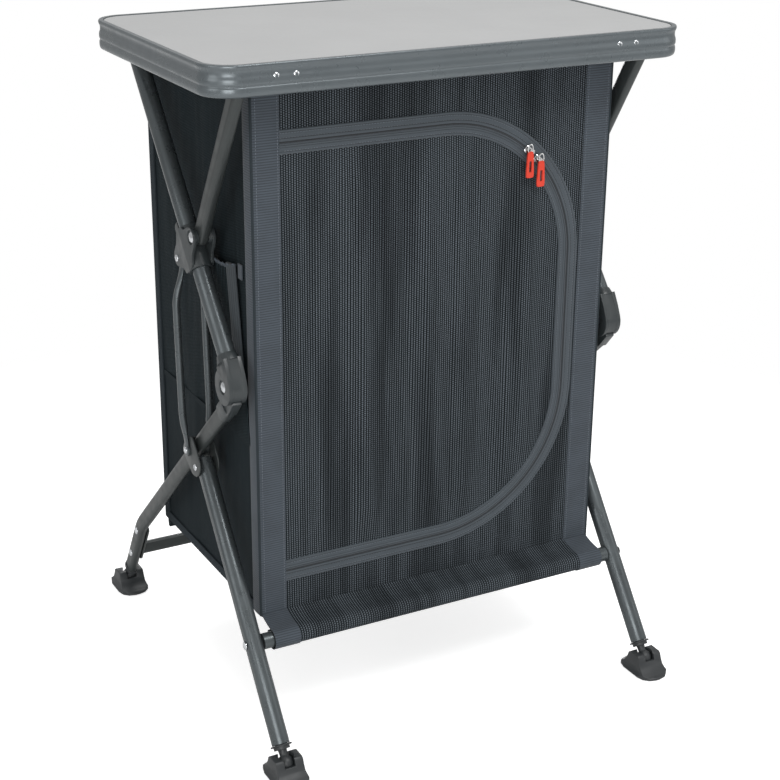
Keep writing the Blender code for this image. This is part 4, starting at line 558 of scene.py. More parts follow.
def front_cloth():
    """Mesh of the front round the door, sewn under the webbing at both sides."""
    xs = np.concatenate([np.linspace(-CABINET_X, DOOR_LEFT, 6)[:-1], np.linspace(DOOR_LEFT, CABINET_X, 150)])
    zs = np.linspace(TOP_Z, BOTTOM_Z - CLOTH, 150)
    X, Z = grid(xs, zs)
    hole = np.vectorize(off_hole)(X, Z)
    keep = hole[:-1, :-1] + hole[:-1, 1:] + hole[1:, :-1] + hole[1:, 1:] > 0
    # Points near the hole are drawn onto its edge, down the slope of the distance
    e = 1e-4
    for i, j in np.argwhere((abs(hole) < 0.0042) & (X > DOOR_LEFT + 0.008)):
        x, z, off = X[i, j], Z[i, j], hole[i, j]
        X[i, j] -= (off_hole(x + e, z) - off) / e * off * 0.9
        Z[i, j] -= (off_hole(x, z + e) - off) / e * off * 0.9
    calm = slack((X + CABINET_X) / (2 * CABINET_X)) * slack((TOP_Z - Z) / (TOP_Z - BOTTOM_Z))
    near = np.clip((hole - 0.008) / 0.02, 0, 1)
    Y = FRONT_Y - calm * near * (ripple(X, Z) + 0.0006)
    return cloth("front_mesh", (X, Y, Z), (X, Z), CLOTH, MESH, keep, flip=True)


door_size = (DOOR_RIGHT - DOOR_LEFT, DOOR_TOP - DOOR_BOTTOM)
front = on_cabinet(front_cloth(), "band_cloth", "front_panel")


def door_cloth():
    """The door's mesh: its columns are straight up to the corners, then follow them."""
    bend = 0.62  # share of the columns that lie before the round corners
    U = np.linspace(0, 1, 150)
    reach = np.where(U < bend, U / bend, 0)
    xs = np.where(U < bend, DOOR_LEFT + 0.0012 + (CORNER_X - DOOR_LEFT - 0.0012) * reach,
                  CORNER_X + (DOOR_RADIUS - 0.0006) * np.sin((U - bend) / (1 - bend) * pi / 2))
    V = np.linspace(0, 1, 120)
    X = np.repeat(xs[:, None], len(V), 1)
    inner = np.clip(X - CORNER_X, 0, None)
    drop = DOOR_RADIUS - np.sqrt(np.clip(DOOR_RADIUS ** 2 - inner ** 2, 0, None))
    top, bottom = DOOR_TOP - drop, DOOR_BOTTOM + drop
    Z = top + (bottom - top) * V[None, :]
    edge = np.minimum(np.minimum(top - Z, Z - bottom), DOOR_RIGHT - X)
    calm = np.clip((edge - 0.012) / 0.05, 0, 1) ** 0.8 * np.clip((X - DOOR_LEFT) / 0.03, 0, 1)
    belly = 0.003 * slack((X - DOOR_LEFT) / door_size[0]) * slack((DOOR_TOP - Z) / door_size[1])
    Y = FRONT_Y - calm * (ripple(X, Z) + broad(X, Z) + belly)
    return cloth("door_mesh", (X, Y, Z), (X, Z), CLOTH, MESH, flip=True)


door = on_cabinet(door_cloth(), "mesh_cloth", "door_panel", body="door")

# Zip: two tapes with piped edges, a row of coil between them, dark strips of painted shade along the grooves that part
# the tapes, and rows of stitches
edge_points, edge_normals = door_edge()
edge_path = np.insert(edge_points, 1, FRONT_Y - 0.0006, axis=1)
edge_out = np.insert(edge_normals, 1, 0.0, axis=1)
OUTER_TAPE = [(0.0008, 0.0), (0.0008, 0.0014), (0.0026, 0.0021), (0.0042, 0.0017), (0.0058, 0.0011), (0.0075, 0.0015),
              (0.0092, 0.0012), (0.0118, 0.001), (0.0132, 0.0017), (0.0144, 0.0016), (0.015, 0.0008), (0.015, 0.0)]
INNER_TAPE = [(-0.0006, 0.0), (-0.013, 0.0), (-0.013, 0.0008), (-0.0124, 0.0016), (-0.0112, 0.0017),
              (-0.01, 0.001), (-0.0078, 0.0011), (-0.0062, 0.0015), (-0.0048, 0.0011), (-0.0034, 0.0017),
              (-0.0018, 0.0021), (-0.0006, 0.0014)]
on_cabinet(sweep("zip_outer_tape", edge_path, edge_out, OUTER_TAPE, TAPE), "zip_cloth", "zip_tape")

# The door's own tape starts at its hinge line. Fixed roots join it to the webbing.
swing_path = edge_path.copy()
swing_path[[0, -1], 0] = DOOR_LEFT


def on_door(name, section, look):
    """Zip strip that swings with the door, and its two fixed roots."""
    on_cabinet(sweep(name, swing_path, edge_out, section, look), "zip_cloth", body="door")
    for place, end in (("upper", 0), ("lower", -1)):
        root = np.stack([edge_path[end], swing_path[end]])
        on_cabinet(sweep("%s_%s_root" % (name, place), root, edge_out[[end, end]], section, look), "zip_cloth")


on_door("zip_inner_tape", INNER_TAPE, TAPE)
on_cabinet(sweep("zip_coil", edge_path, edge_out, oval(0.0007, 0.0006, 0.0001, 0.0012), COIL), "zip_cloth")
# Thin dark strips raised a little over the tapes: painted shade of the grooves between their ridges
for number, (offset, up) in enumerate(((0.0014, 0.0018), (0.005, 0.0015), (0.0122, 0.0012),
                                       (-0.0024, 0.002), (-0.0056, 0.0013), (-0.0104, 0.0012))):
    name = "zip_groove_%d" % number
    near, far = offset - 0.0005, offset + 0.0005
    ring = [(near, up - 0.0006), (near, up), (far, up), (far, up - 0.0006)]
    if offset < 0:
        on_door(name, ring, GROOVE_SHADE)
    else:
        on_cabinet(sweep(name, edge_path, edge_out, ring, GROOVE_SHADE), "zip_cloth")
for name, path, offset, up, body in (("zip_outer_stitches", edge_path, 0.011, 0.0011, "cabinet_top"),
                                     ("zip_outer_stitches_low", edge_path, 0.0056, 0.0012, "cabinet_top"),
                                     ("zip_inner_stitches", swing_path, -0.0092, 0.0011, "door")):
    row = path + edge_out * offset + np.array((0, -up, 0))
    on_cabinet(stitches(name, row, FORWARD, 0.0036, 0.0026, 0.00022), "zip_cloth", body=body)


# Webbing down the front corners, with piping at the corner and a narrower web on the side
def webbing(name, inner, outer):
    low, high = sorted((inner, outer))
    rows = np.linspace(TOP_Z, BOTTOM_Z - 0.0015, 110)
    cols = np.linspace(low, high, 14)
    X, Z = grid(cols, rows)
    t = (X - low) / (high - low)
    crown = 0.0007 * slack(t) ** 0.5
    wavy = 0.00035 * np.sin(Z * 75 + X * 60) * slack(t)
    Y = FRONT_Y - 0.0014 - crown - wavy
    return cloth(name, (X, Y, Z), (X, Z), 0.001, BAND_CLOTH, flip=True)


def side_webbing(name, sign):
    rows = np.linspace(UNDER_RIM, BOTTOM_Z, 100)
    cols = np.linspace(FRONT_Y - 0.0015, FRONT_Y + SIDE_BAND, 12)
    Y, Z = grid(cols, rows)
    t = (Y - cols[0]) / (cols[-1] - cols[0])
    swell = 0.0012 * slack(t) ** 0.6 + 0.0004 * np.sin(Z * 62 + 1.0) * slack(t)
    X = sign * (CABINET_X + 0.0004 + swell)
    return cloth(name, (X, Y, Z), (Y, Z), 0.0009, BAND_CLOTH, flip=sign < 0)


def piping(name, x, y):
    """Upright cord at a corner of the cabinet."""
    path = line((x, y, UNDER_RIM), (x, y, BOTTOM_Z), 0.008)
    side = np.cross((0.0, 0.0, -1.0), (0.3, 1.0, 0.2))
    side /= np.linalg.norm(side)
    strip(name, path, side, oval(0.0016, 0.0016), DARK_BAND, np.cross((0.0, 0.0, -1.0), side))


def seam_stitches(name, x, y, up, radius):
    """Upright row of stitches from the rim to the cabinet's bottom."""
    row = line((x, y, UNDER_RIM - 0.004), (x, y, BOTTOM_Z + 0.002))
    on_cabinet(stitches(name, row, up, 0.004, 0.0028, radius))


for label, sign, inner in (("left", -1, LEFT_WEB), ("right", 1, RIGHT_WEB)):
    outer = sign * CABINET_X
    band = on_cabinet(webbing(label + "_front_webbing", inner, outer))
    web = on_cabinet(side_webbing(label + "_side_webbing", sign))
    piping(label + "_corner_piping", sign * (CABINET_X + 0.0006), FRONT_Y - 0.0012)
    for name, x in (("inner", inner + sign * 0.003), ("outer", sign * (CABINET_X - 0.0045))):
        seam_stitches(label + "_front_stitches_" + name, x, FRONT_Y - 0.0024, FORWARD, 0.00026)
    seam_stitches(label + "_side_stitches", sign * (CABINET_X + 0.0013), FRONT_Y + SIDE_BAND - 0.003, (sign, 0, 0),
                  0.00024)


# ---- sides and back
def side_cloth(name, sign, top, bottom, look):
    """Part of a side panel, drawn in a little between its seams."""
    ys = np.linspace(FRONT_Y + 0.0012, REAR_Y - 0.0022, 90)
    zs = np.linspace(top, bottom, 90)
    Y, Z = grid(ys, zs)
    t = (Y - FRONT_Y) / (REAR_Y - FRONT_Y)
    v = (UNDER_RIM - Z) / (UNDER_RIM - BOTTOM_Z)
    calm = slack(t) * slack(v) ** 0.6
    folds = (0.0016 * swing(Y * 7.5 + Z * 1.9, 1, 0.7) + 0.0011 * swing(Y * 13 - Z * 3.1, 1, 2.0)
             + 0.0005 * swing(Y * 41 + Z * 4.0, 1))
    X = sign * (CABINET_X - 0.0015 - calm * (0.0016 + folds * 0.8))
    return cloth(name, (X, Y, Z), (Y, Z), CLOTH, look, flip=sign < 0)


def binding(half):
    """Section of a folded binding, half its width to each side."""
    return [(-half, -0.0012), (-half, 0.0006), (0.001 - half, 0.001), (half - 0.001, 0.001), (half, 0.0006),
            (half, -0.0012)]


for label, sign in (("left", -1), ("right", 1)):
    upper = on_cabinet(side_cloth(label + "_side_cloth", sign, UNDER_RIM, SEAM_Z, SIDE_MESH), "mesh_cloth",
                       label + "_side_panel")
    lower = on_cabinet(side_cloth(label + "_side_lower", sign, SEAM_Z, BOTTOM_Z, PLAIN), "mesh_cloth")
    out = (sign, 0, 0)
    x = sign * (CABINET_X - 0.0006)
    seam = line((x, FRONT_Y + SIDE_BAND, SEAM_Z), (x, REAR_Y - 0.006, SEAM_Z))
    flat = [(-0.004, 0.0), (-0.0036, 0.0004), (0.0036, 0.0004), (0.004, 0.0)]
    strip(label + "_seam_tape", seam, (0, 0, 1), flat, PLAIN, out)
    x = sign * (CABINET_X + 0.0004)
    hem = line((x, FRONT_Y, BOTTOM_Z + 0.005), (x, REAR_Y - 0.001, BOTTOM_Z + 0.005))
    strip(label + "_bottom_hem", hem, (0, 0, 1), binding(0.006), DARK_BAND, out)
    x = sign * (CABINET_X + 0.0002)
    back = line((x, REAR_Y - 0.006, UNDER_RIM), (x, REAR_Y - 0.006, BOTTOM_Z))
    strip(label + "_rear_binding", back, (0, 1, 0), binding(0.0065), DARK_BAND, out)
    piping(label + "_rear_piping", sign * CABINET_X, REAR_Y)


def rear_cloth(name, top, bottom, look):
    """Part of the rear panel, which bellies out a little."""
    xs = np.linspace(-CABINET_X + 0.001, CABINET_X - 0.001, 110)
    zs = np.linspace(top, bottom, 80)
    X, Z = grid(xs, zs)
    calm = slack((X + CABINET_X) / (2 * CABINET_X)) * slack((UNDER_RIM - Z) / (UNDER_RIM - BOTTOM_Z)) ** 0.6
    folds = 0.0017 * swing(X * 6.1 + Z * 1.3, 1) + 0.001 * swing(X * 11.7 - Z * 2.0, 1, 1.0)
    Y = REAR_Y - 0.001 + calm * (0.0024 + folds)
    return cloth(name, (X, Y, Z), (X, Z), CLOTH, look)


rear_upper = on_cabinet(rear_cloth("rear_cloth", UNDER_RIM, SEAM_Z, SIDE_MESH), "mesh_cloth", "rear_panel")
rear_lower = on_cabinet(rear_cloth("rear_lower", SEAM_Z, BOTTOM_Z, PLAIN), "mesh_cloth")


# ---- flap round the front stretcher
def flap_profile(extra=0.0, count=44):
    """Side view (y, z) of the flap: from the cabinet's edge, round the stretcher and back to its hem."""
    cy, cz = STRETCHER
    radius = 0.0114 + extra
    start = np.array((FRONT_Y - 0.0012 - extra, BOTTOM_Z + 0.0016))
    towards = start - np.array((cy, cz))
    tangent = atan2(towards[1], towards[0]) + acos(min(radius / np.linalg.norm(towards), 1.0))
    touch = np.array((cy + radius * cos(tangent), cz + radius * sin(tangent)))
    points = [start + (touch - start) * t + np.array((0, -0.0012)) * sin(pi * t) for t in np.linspace(0, 1, 9)[:-1]]
    for i in range(count):
        angle = tangent + radians(292) * i / (count - 1)
        points.append(np.array((cy + radius * cos(angle), cz + radius * sin(angle))))
    return np.array(points)


def flap(name, low, high, columns, look, extra, thickness, waves):
    """Cloth round the stretcher, from low to high across the cabinet, extra further out than the mesh."""
    profile = flap_profile(extra)
    run = run_along(profile)
    xs = np.linspace(low, high, columns)
    X = np.repeat(xs[:, None], len(profile), 1)
    Y = np.repeat(profile[None, :, 0], columns, 0)
    Z = np.repeat(profile[None, :, 1], columns, 0)
    sag = slack(run / 0.055) * (run < 0.055)
    Z = Z - waves * sag[None, :] * (0.6 + 0.4 * np.sin(X * 61) + 0.5 * np.sin(X * 143 + 1.0))
    return cloth(name, (X, Y, Z), (X, np.repeat(-run[None, :], columns, 0)), thickness, look)


main_flap = on_cabinet(flap("flap_mesh", -CABINET_X, CABINET_X, 150, MESH, 0.0, CLOTH, 0.0007), "mesh_cloth",
                       "front_flap")
for label, low, high in (("left", -CABINET_X, LEFT_WEB), ("right", FLAP_WEB, CABINET_X)):
    made = on_cabinet(flap(label + "_flap_webbing", low, high, 12, BAND_CLOTH, 0.0012, 0.0009, 0.0))


# ---- pocket on the left side
def pocket():
    """Grids of the pocket's cloth: from front to rear, and from its gathered mouth down."""
    u = np.linspace(0, 1, 60)
    v = np.linspace(0, 1, 50)
    U, V = grid(u, v)
    front_edge = 0.083 + (0.114 - 0.083) * V
    swell = slack(U) ** 0.8 * (1 - V) ** 0.5 * 0.0062
    frill = 0.0012 * np.sin(U * 46 + 0.6) * np.exp(-V * 9) * slack(U)
    X = -CABINET_X - 0.0016 - swell - frill
    Y = -front_edge + (front_edge - 0.008) * U
    Z = -0.25 - 0.216 * V - 0.004 * slack(U) * (1 - V) + 0.001 * np.sin(U * 46) * np.exp(-V * 12)
    return (X, Y, Z), (Y, Z)


pocket_grids, pocket_uv = pocket()
pocket_points = np.stack(pocket_grids, -1)
pouch = on_cabinet(cloth("pocket_cloth", pocket_grids, pocket_uv, 0.0011, SIDE_MESH, flip=True), "board_cloth",
                   "side_pocket")
left = (-1, 0, 0)
strip("pocket_elastic", pocket_points[:, 0] + np.array((-0.0004, 0, -0.0008)), (0, 0, 1), oval(0.0022, 0.0013),
      BAND_CLOTH, left)
ring = [(-0.0006, -0.0006), (-0.0004, 0.0012), (0.004, 0.003), (0.008, 0.0041), (0.012, 0.005),
        (0.0155, 0.0052), (0.016, 0.002)]
strip("pocket_edge_elastic", pocket_points[0, :30] + np.array((-0.0008, 0.0, 0)), (0, 1, 0), ring, ELASTIC, left)
x, y = -CABINET_X - 0.0008, pocket_points[0, 0][1] - 0.012
ring = [(-0.0055, -0.0004), (-0.005, 0.0012), (0.005, 0.0012), (0.0055, -0.0004)]
strip("pocket_tab", line((x, y, -0.246), (x, y, -0.264), 0.003), (0, 1, 0), ring, BAND_CLOTH, left)

# Loose hem that hangs under the rear edge of the base
x, y, z = CABINET_X - 0.001, REAR_Y - 0.008, BOTTOM_Z - 0.006
hem_path = line((-x, y, z), (x, y, z), 0.01)
t = np.linspace(0, 1, len(hem_path))
hem_path[:, 2] -= 0.002 * np.sin(t * 31) * slack(t)
hem_path[:, 1] += 0.0015 * np.sin(t * 23 + 1.0)
ring = [(-0.0075, -0.003), (-0.0085, 0.0), (-0.0075, 0.003), (0.0, 0.0044), (0.0066, 0.003), (0.007, 0.0),
        (0.0066, -0.003), (0.0, -0.0044)]
strip("rear_hem", hem_path, (0, 0, 1), ring, PLAIN, (0, 1, 0))


# ---- rigid pieces
SLOTS = {entry["node"]: entry["material_slot"] for entry in frame["record"]["subparts"]}
BODY = {node: item["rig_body"] for node, item in frame["nodes"].items()}
# Looks of the CAD nodes that are shown by a smooth copy of themselves
LOOKS = {
    "table_top": LAMINATE, "strut": FLAT_PAINT, "under_rail": FLAT_PAINT, "long_bar": PAINT, "lower_bar": FLAT_PAINT,
    "leg_bracket": FLAT_PAINT, "front_leg": PAINT, "front_stretcher": PAINT, "rear_stretcher": FLAT_PAINT,
    "hub": MOULD, "bar_end": MOULD, "elbow_fork": MOULD, "elbow_tongue": MOULD, "crossing_bush": MOULD,
    "rear_plug": RUBBER, "adjuster": RUBBER, "front_shoe": RUBBER, "rear_shoe": RUBBER, "hub_rivet": CHROME,
    "elbow_rivet": CHROME, "hub_button": BUTTON, "upper_slider": ZINC, "lower_slider": ZINC, "base_board": BOARD,
    "middle_shelf": BOARD, "upper_shelf": BOARD,
}
# Angle, in degrees, over which an edge of a CAD node stays sharp, where it isn't 32
ROUND = {"long_bar": 40, "front_leg": 40, "front_stretcher": 40, "elbow_fork": 34, "hub": 34, "adjuster": 40,
         "strut": 40, "lower_bar": 40, "front_shoe": 40, "rear_shoe": 40, "hub_rivet": 50, "elbow_rivet": 50}
# Width of the softened edges
SOFTENED = {"elbow_fork": 0.0014, "hub": 0.0012, "front_shoe": 0.0014, "rear_shoe": 0.0014, "adjuster": 0.0005,
            "elbow_tongue": 0.001, "rear_plug": 0.0005, "bar_end": 0.0008, "leg_bracket": 0.0005,
            "front_leg": 0.0005, "long_bar": 0.0005}


def smooth_copy(node, kind):
    """Copy of a CAD node with its corners joined and its round faces shaded smooth."""
    mesh = bpy.data.meshes.new(node + "_smooth")
    work = bmesh.new()
    work.from_mesh(frame["nodes"][node].data)
    bmesh.ops.remove_doubles(work, verts=work.verts, dist=2e-6)
    bmesh.ops.dissolve_limit(work, angle_limit=radians(0.6), verts=work.verts, edges=work.edges)
    work.to_mesh(mesh)
    work.free()
    made = show(node + "_finish", mesh)
    if kind in SOFTENED:
        bevel = made.modifiers.new("softened", "BEVEL")
        bevel.width = SOFTENED[kind]
        bevel.segments = 3
        bevel.limit_method = "ANGLE"
        bevel.angle_limit = radians(38)
        ready = made.evaluated_get(bpy.context.evaluated_depsgraph_get())
        mesh = bpy.data.meshes.new_from_object(ready)
        made.modifiers.clear()
        made.data = mesh
    mesh.shade_smooth()
    mesh.set_sharp_from_angle(angle=radians(ROUND.get(kind, 32)))
    mesh.materials.clear()
    mesh.materials.append(LOOKS[kind])
    belongs(made, BODY[node], SLOTS[node], node)


for node in frame["nodes"]:
    kind = node.removeprefix("left_").removeprefix("right_")
    if kind in LOOKS:
        smooth_copy(node, kind)


def eased(points, steps=5):
    """Catmull-Rom curve through the points of a profile."""
    P = np.asarray(points, float)
    P = np.concatenate([[2 * P[0] - P[1]], P, [2 * P[-1] - P[-2]]])
    found = []
    for i in range(1, len(P) - 2):
        a, b, c, d = P[i - 1:i + 3]
        for t in np.arange(steps) / steps:
            found.append(0.5 * (2 * b + (c - a) * t + (2 * a - 5 * b + 4 * c - d) * t ** 2
                                + (3 * b - a - 3 * c + d) * t ** 3))
    found.append(P[-2])
    return np.array(found)


def rim():
    """Moulded edge: lip, hollow, ridge, second hollow and rounded bead, swept round the top's rounded corners."""
    face = eased(((0.08, 0.0), (0.0, 0.03), (0.0, 0.1), (0.15, 0.2), (0.16, 0.33), (0.03, 0.44), (0.0, 0.52),
                  (0.02, 0.6), (0.12, 0.66), (0.03, 0.72), (0.0, 0.8), (0.02, 0.88), (0.12, 0.96), (0.32, 1.0)))
    section = [(w * RIM_WALL, h * RIM_HEIGHT) for w, h in face]
    section += [(RIM_WALL, RIM_HEIGHT), (RIM_WALL, 0.0105), (0.0155, 0.0105), (0.0155, 0.0099), (0.006, 0.0099),
                (0.006, 0.0)]
    verts, steps = [], 24
    for inward, down in section:
        half_x, half_y, radius = HALF_TOP - inward, FACE_Y - inward, TOP_CORNER - inward
        for corner in range(4):
            cx = (half_x - radius) * (1 if corner in (0, 3) else -1)
            cy = (half_y - radius) * (1 if corner in (0, 1) else -1)
            for step in range(steps + 1):
                angle = pi / 2 * (corner + step / steps)
                verts.append((cx + radius * cos(angle), cy + radius * sin(angle), -down))
    return solid("rim_moulding", placed(verts), tube(len(section), 4 * (steps + 1), closed=True), RIM, 42)


belongs(rim(), "cabinet_top", SLOTS["table_rim"], "table_rim")


def rod(name, side, sign):
    """Link rod of round wire with flattened ends, which bows out beside the frame."""
    run = float(np.linalg.norm(ROD_LOW - ROD_TOP))
    along = (ROD_LOW - ROD_TOP) / run
    across = np.array((-along[1], along[0]))
    stations = np.concatenate([np.linspace(0.006, 0.062, 16), np.linspace(0.08, run - 0.07, 6),
                               np.linspace(run - 0.056, run - 0.006, 16)])
    verts, count = [], 16
    for s in stations:
        top, low = np.clip((s - 0.008) / 0.052, 0, 1), np.clip((run - 0.008 - s) / 0.046, 0, 1)
        top, low = top * top * (3 - 2 * top), low * low * (3 - 2 * low)
        offset = 0.0182 - 0.0096 * (1 - top) - 0.0032 * (1 - low)
        flat = min(np.clip((s - 0.012) / 0.026, 0, 1), np.clip((run - 0.01 - s) / 0.024, 0, 1))
        thick, wide = 0.0015 + 0.003 * flat, 0.0045 + 0.0016 * (1 - flat)
        for angle in around(count):
            y, z = ROD_TOP + along * s + across * wide * cos(angle)
            verts.append((side * FRAME_X + sign * (offset + thick * sin(angle)), y, z))
    return solid(name + "_wire", placed(verts), tube(len(stations), count, turned=True), PAINT, 60)


def disc(name, centre, axis, radius, height, look, body, slot, dome=0.35, hole=0.0):
    """Turned disc with a domed outer face; its base lies at the centre and it rises along the axis.
    dome is the share of its height that is domed, hole the width of its hollow as a share of its own."""
    axis = np.asarray(axis, float) / np.linalg.norm(axis)
    first = np.cross(axis, (0.0, 0.31, 0.95))
    first /= np.linalg.norm(first)
    second = np.cross(axis, first)
    profile = [(radius, 0.0), (radius, height * (1 - dome))]
    profile += [(radius * cos(a), height * (1 - dome) + height * dome * sin(a))
                for a in np.linspace(0.25, acos(hole) if hole else 1.4, 5)]
    if hole:
        profile += [(radius * hole * 0.85, height * 0.75), (radius * hole * 0.8, height * 0.45)]
    verts, count = [], 24
    centre = placed(centre)
    for r, h in profile:
        for a in around(count):
            verts.append(centre + axis * h + (first * cos(a) + second * sin(a)) * r)
    belongs(solid(name, verts, tube(len(profile), count), look, 40), body, slot)


def cap(name, centre, axis, body, radius=0.0044, height=0.002, hole=0.4):
    """Chromed head of a rivet, hollow in its middle where hole isn't 0."""
    disc(name, centre, axis, radius, height, CHROME, body, "rivet_steel", 0.7, hole)


def slider_trim(name, place, body):
    """Cast body of a slider on the teeth, with its arched bridge."""
    along = np.array((cos(SLIDER_ANGLE), 0, sin(SLIDER_ANGLE)))
    across = np.array((-sin(SLIDER_ANGLE), 0, cos(SLIDER_ANGLE)))
    centre = placed(place)
    verts, count = [], 28
    for depth, grow in ((0.0, 0.92), (-0.0006, 1.0), (-0.0018, 1.0), (-0.0026, 0.86)):
        for a in around(count):
            ca, sa = cos(a), sin(a)
            x = abs(ca) ** 0.6 * copysign(0.0072, ca)
            y = abs(sa) ** 0.6 * copysign(0.0047 - 0.001 * ca, sa)
            verts.append(centre + along * x * grow + across * y * grow + np.array((0, depth, 0)))
    faces = tube(4, count)
    # Turned the other way, the two ends count as steep, and keep a sharp edge all round
    ends = [faces.pop()[::-1], faces.pop()[::-1]]
    plate = solid(name + "_cast_body", verts, faces + ends, ZINC, 40)
    turns = np.linspace(0, pi, 14)
    arch = np.array([np.array(place, float) + along * 0.0056 * cos(t)
                     + np.array((0, -0.0022 - 0.0034 * sin(t), 0)) for t in turns])
    ring = [(0.0016, 0.0), (0.0014, 0.0007), (-0.0014, 0.0007), (-0.0016, 0.0), (-0.0014, -0.0007), (0.0014, -0.0007)]
    ups = [along * cos(t) + np.array((0, -sin(t), 0)) for t in turns]
    bridge = sweep(name + "_bridge", arch, same(across, arch), ring, ZINC, ups)
    for made in (plate, bridge):
        belongs(made, body, "slider_zinc")


def pull(name, low, high):
    """Moulded pull: a plate with rounded corners and a slot, a little narrower at its top."""
    centre = (low + high) / 2
    half_x, half_z = (high[0] - low[0]) / 2 - 0.0002, (high[2] - low[2]) / 2 - 0.0012
    outer, inner, count = [], [], 40
    for a in around(count):
        ca, sa = [copysign(abs(share) ** 0.32, share) for share in (cos(a), sin(a))]
        outer.append((half_x * (0.86 - 0.14 * sa) * ca, half_z * sa - 0.001))
        inner.append((0.0017 * ca, 0.0068 * sa - 0.0034))
    levels = ((outer, 0.93, -0.0013), (outer, 1.0, -0.0007), (outer, 1.0, 0.0007), (outer, 0.93, 0.0013),
              (inner, 1.0, 0.0013), (inner, 1.0, -0.0013))
    verts = [(centre[0] + x * grow, centre[1] + depth, centre[2] + z * (1 - (1 - grow) * 0.35))
             for ring, grow, depth in levels for x, z in ring]
    made = solid(name + "_moulding", verts, tube(len(levels), count, closed=True), RED, 40)
    belongs(made, BODY[name], SLOTS[name], name)


def pull_link(name, x, y, z, body):
    """Wire loop between the slider's bridge and its pull."""
    t = np.linspace(0, 2 * pi, 25)
    loop = np.array([(x + 0.0034 * cos(a), y, z + 0.0058 * sin(a)) for a in t])
    away = [np.array((cos(a), 0, sin(a))) for a in t]
    belongs(sweep(name, loop, away, oval(0.0009, 0.0009), ZINC), body, "slider_zinc")


for name in ("upper", "lower"):
    low, high = [np.array(corner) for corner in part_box(name + "_slider")]
    middle = (low + high) / 2 - (0, SHIFT_Y, TABLE_Z)
    slider_trim(name + "_slider", (middle[0], FRONT_Y - 0.0022, middle[2]), BODY[name + "_slider"])
    low, high = [np.array(corner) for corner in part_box(name + "_pull")]
    pull(name + "_pull", low, high)
    pull_link(name + "_pull_link", (low[0] + high[0]) / 2, (low[1] + high[1]) / 2 - SHIFT_Y,
              high[2] - TABLE_Z + 0.0006, BODY[name + "_pull"])

for label, side in (("left", -1), ("right", 1)):
    for name, sign in (("outer_rod", side), ("inner_rod", -side)):
        node = label + "_" + name
        axis = (sign, 0, 0)
        belongs(rod(node, side, sign), BODY[node], SLOTS[node], node)
        low = side * FRAME_X + sign * 0.0135
        for eye, place in (("_lower_eye", (low, *ROD_LOW)), ("_upper_eye", (side * FRAME_X + sign * 0.0071, *ROD_TOP))):
            disc(node + eye, place, axis, 0.008, 0.003, PAINT, BODY[node], SLOTS[node], 0.2)
        cap(node + "_rivet_cap", (low + sign * 0.0029, *ROD_LOW), axis, BODY[node])
    for sign in (-1, 1):
        tag = "%s_%s_" % (label, "outer" if sign == side else "inner")
        axis = (sign, 0, 0)
        cap(tag + "hub_cap", (side * FRAME_X + sign * 0.0139, *ROD_TOP), axis, BODY[label + "_hub"])
        cap(tag + "leg_cap", (side * FRAME_X + sign * 0.0131, *LEG_PIN), axis, BODY[label + "_leg_bracket"])
    axis = (side, 0, 0)
    cap(label + "_stretcher_cap", (side * 0.2752, *STRETCHER), axis, BODY["front_stretcher"], 0.0053, hole=0.0)
    for number, place in enumerate(REAR_RIVETS):
        cap("%s_rear_cap_%d" % (label, number), (side * 0.2702, *place), axis, BODY["rear_stretcher"], 0.0053, hole=0.0)
    for end, sign in (("front", -1), ("rear", 1)):
        for letter, step in (("a", -RIVET_STEP), ("b", RIVET_STEP)):
            place = (side * RAIL_X + step, sign * (FACE_Y - 0.0026), RIVET_DROP)
            cap("%s_%s_rim_cap_%s" % (label, end, letter), place, (0, sign, 0), "cabinet_top", 0.0042, 0.0026, 0.42)


# ---- studio
camera_data = bpy.data.cameras.new("camera")
camera_data.lens = 76.17
camera_data.sensor_width = 36.0
camera_data.clip_end = 100.0
camera = show("camera", camera_data)
yaw, pitch, roll = radians(28.63), radians(21.53), radians(0.55)
forward = Vector((sin(yaw) * cos(pitch), cos(yaw) * cos(pitch), -sin(pitch)))
level = Vector((cos(yaw), -sin(yaw), 0.0))
above = level.cross(forward)
right = level * cos(roll) + above * sin(roll)
upward = above * cos(roll) - level * sin(roll)
turn = Matrix((right, upward, -forward)).transposed().to_4x4()
camera.matrix_world = Matrix.Translation(Vector((-0.95901, -1.79356, 1.15707))) @ turn
scene = bpy.context.scene
scene.camera = camera
scene.view_settings.view_transform = "Standard"


def lamp(name, place, target, size, power):
    data = bpy.data.lights.new(name, "AREA")
    data.shape = "RECTANGLE"
    data.size, data.size_y = size
    data.energy = power
    made = show(name, data)
    made.location = place
    made.rotation_euler = (Vector(target) - Vector(place)).to_track_quat("-Z", "Y").to_euler()


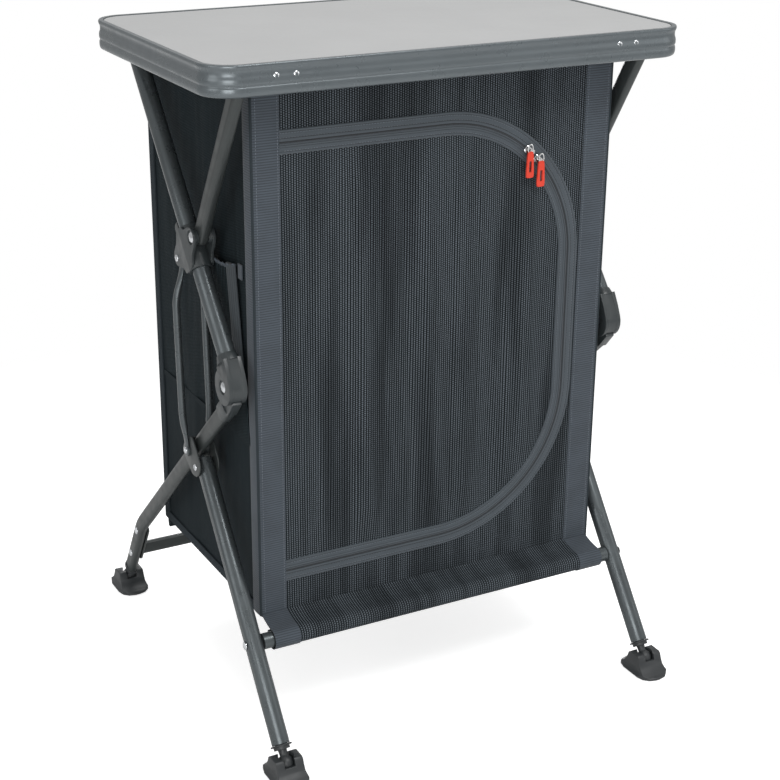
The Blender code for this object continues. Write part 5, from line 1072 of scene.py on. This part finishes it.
lamp("key", (0.5, -1.6, 2.7), (0, -0.1, 0.5), (1.1, 0.9), 32)
lamp("front", (-1.6, -2.9, 0.9), (0, 0, 0.6), (1.8, 1.4), 40)
lamp("left", (-2.8, -0.7, 1.4), (0, 0, 0.4), (1.4, 1.6), 14)
lamp("right", (2.4, -1.8, 1.4), (0, 0, 0.4), (1.6, 1.6), 8)
lamp("rear", (1.3, 2.6, 0.4), (0, 0, 0.45), (1.6, 0.6), 20)
lamp("overhead", (0.2, 0.6, 2.9), (0, 0, 0.4), (2.0, 1.6), 32)

WHITE = (1, 1, 1, 1)
world = bpy.data.worlds.new("studio")
scene.world = world
world.use_nodes = True
tree = world.node_tree
tree.nodes.clear()
seen = add_node(tree, "LightPath").outputs["Is Camera Ray"]
dim = add_node(tree, "Background", {0: WHITE, 1: 0.5}).outputs[0]
bright = add_node(tree, "Background", {0: WHITE, 1: 1.0}).outputs[0]
mixed = add_node(tree, "MixShader", {0: seen, 1: dim, 2: bright}).outputs[0]
add_node(tree, "OutputWorld", {0: mixed})

# The floor keeps the object's shadow near it and fades to white further out
floor_mesh = bpy.data.meshes.new("floor")
floor_mesh.from_pydata([(-20, -20, 0), (20, -20, 0), (20, 20, 0), (-20, 20, 0)], [], [(0, 1, 2, 3)])
floor = show("floor", floor_mesh)
floor.location = (0, 0, -0.0004)
floor_look = bpy.data.materials.new("pale_floor")
floor_look.use_nodes = True
tree = floor_look.node_tree
tree.nodes.clear()
matt = add_node(tree, "BsdfDiffuse", {0: (0.8, 0.8, 0.8, 1)}).outputs[0]
lift = add_node(tree, "Emission", {0: WHITE, 1: 0.62}).outputs[0]
both = add_node(tree, "AddShader", {0: matt, 1: lift}).outputs[0]
white = add_node(tree, "Emission", {0: WHITE, 1: 1.0}).outputs[0]
place = add_node(tree, "TexCoord").outputs["Object"]
reach = add_node(tree, "VectorMath", {0: place}, operation="LENGTH").outputs["Value"]
fade = add_node(tree, "MapRange", {0: reach, 1: 0.45, 2: 1.25}).outputs[0]
far = add_node(tree, "MixShader", {0: fade, 1: both, 2: white}).outputs[0]
seen = add_node(tree, "LightPath").outputs["Is Camera Ray"]
picked = add_node(tree, "MixShader", {0: seen, 1: matt, 2: far}).outputs[0]
add_node(tree, "OutputMaterial", {0: picked})
floor_mesh.materials.append(floor_look)

bpy.context.view_layer.update()
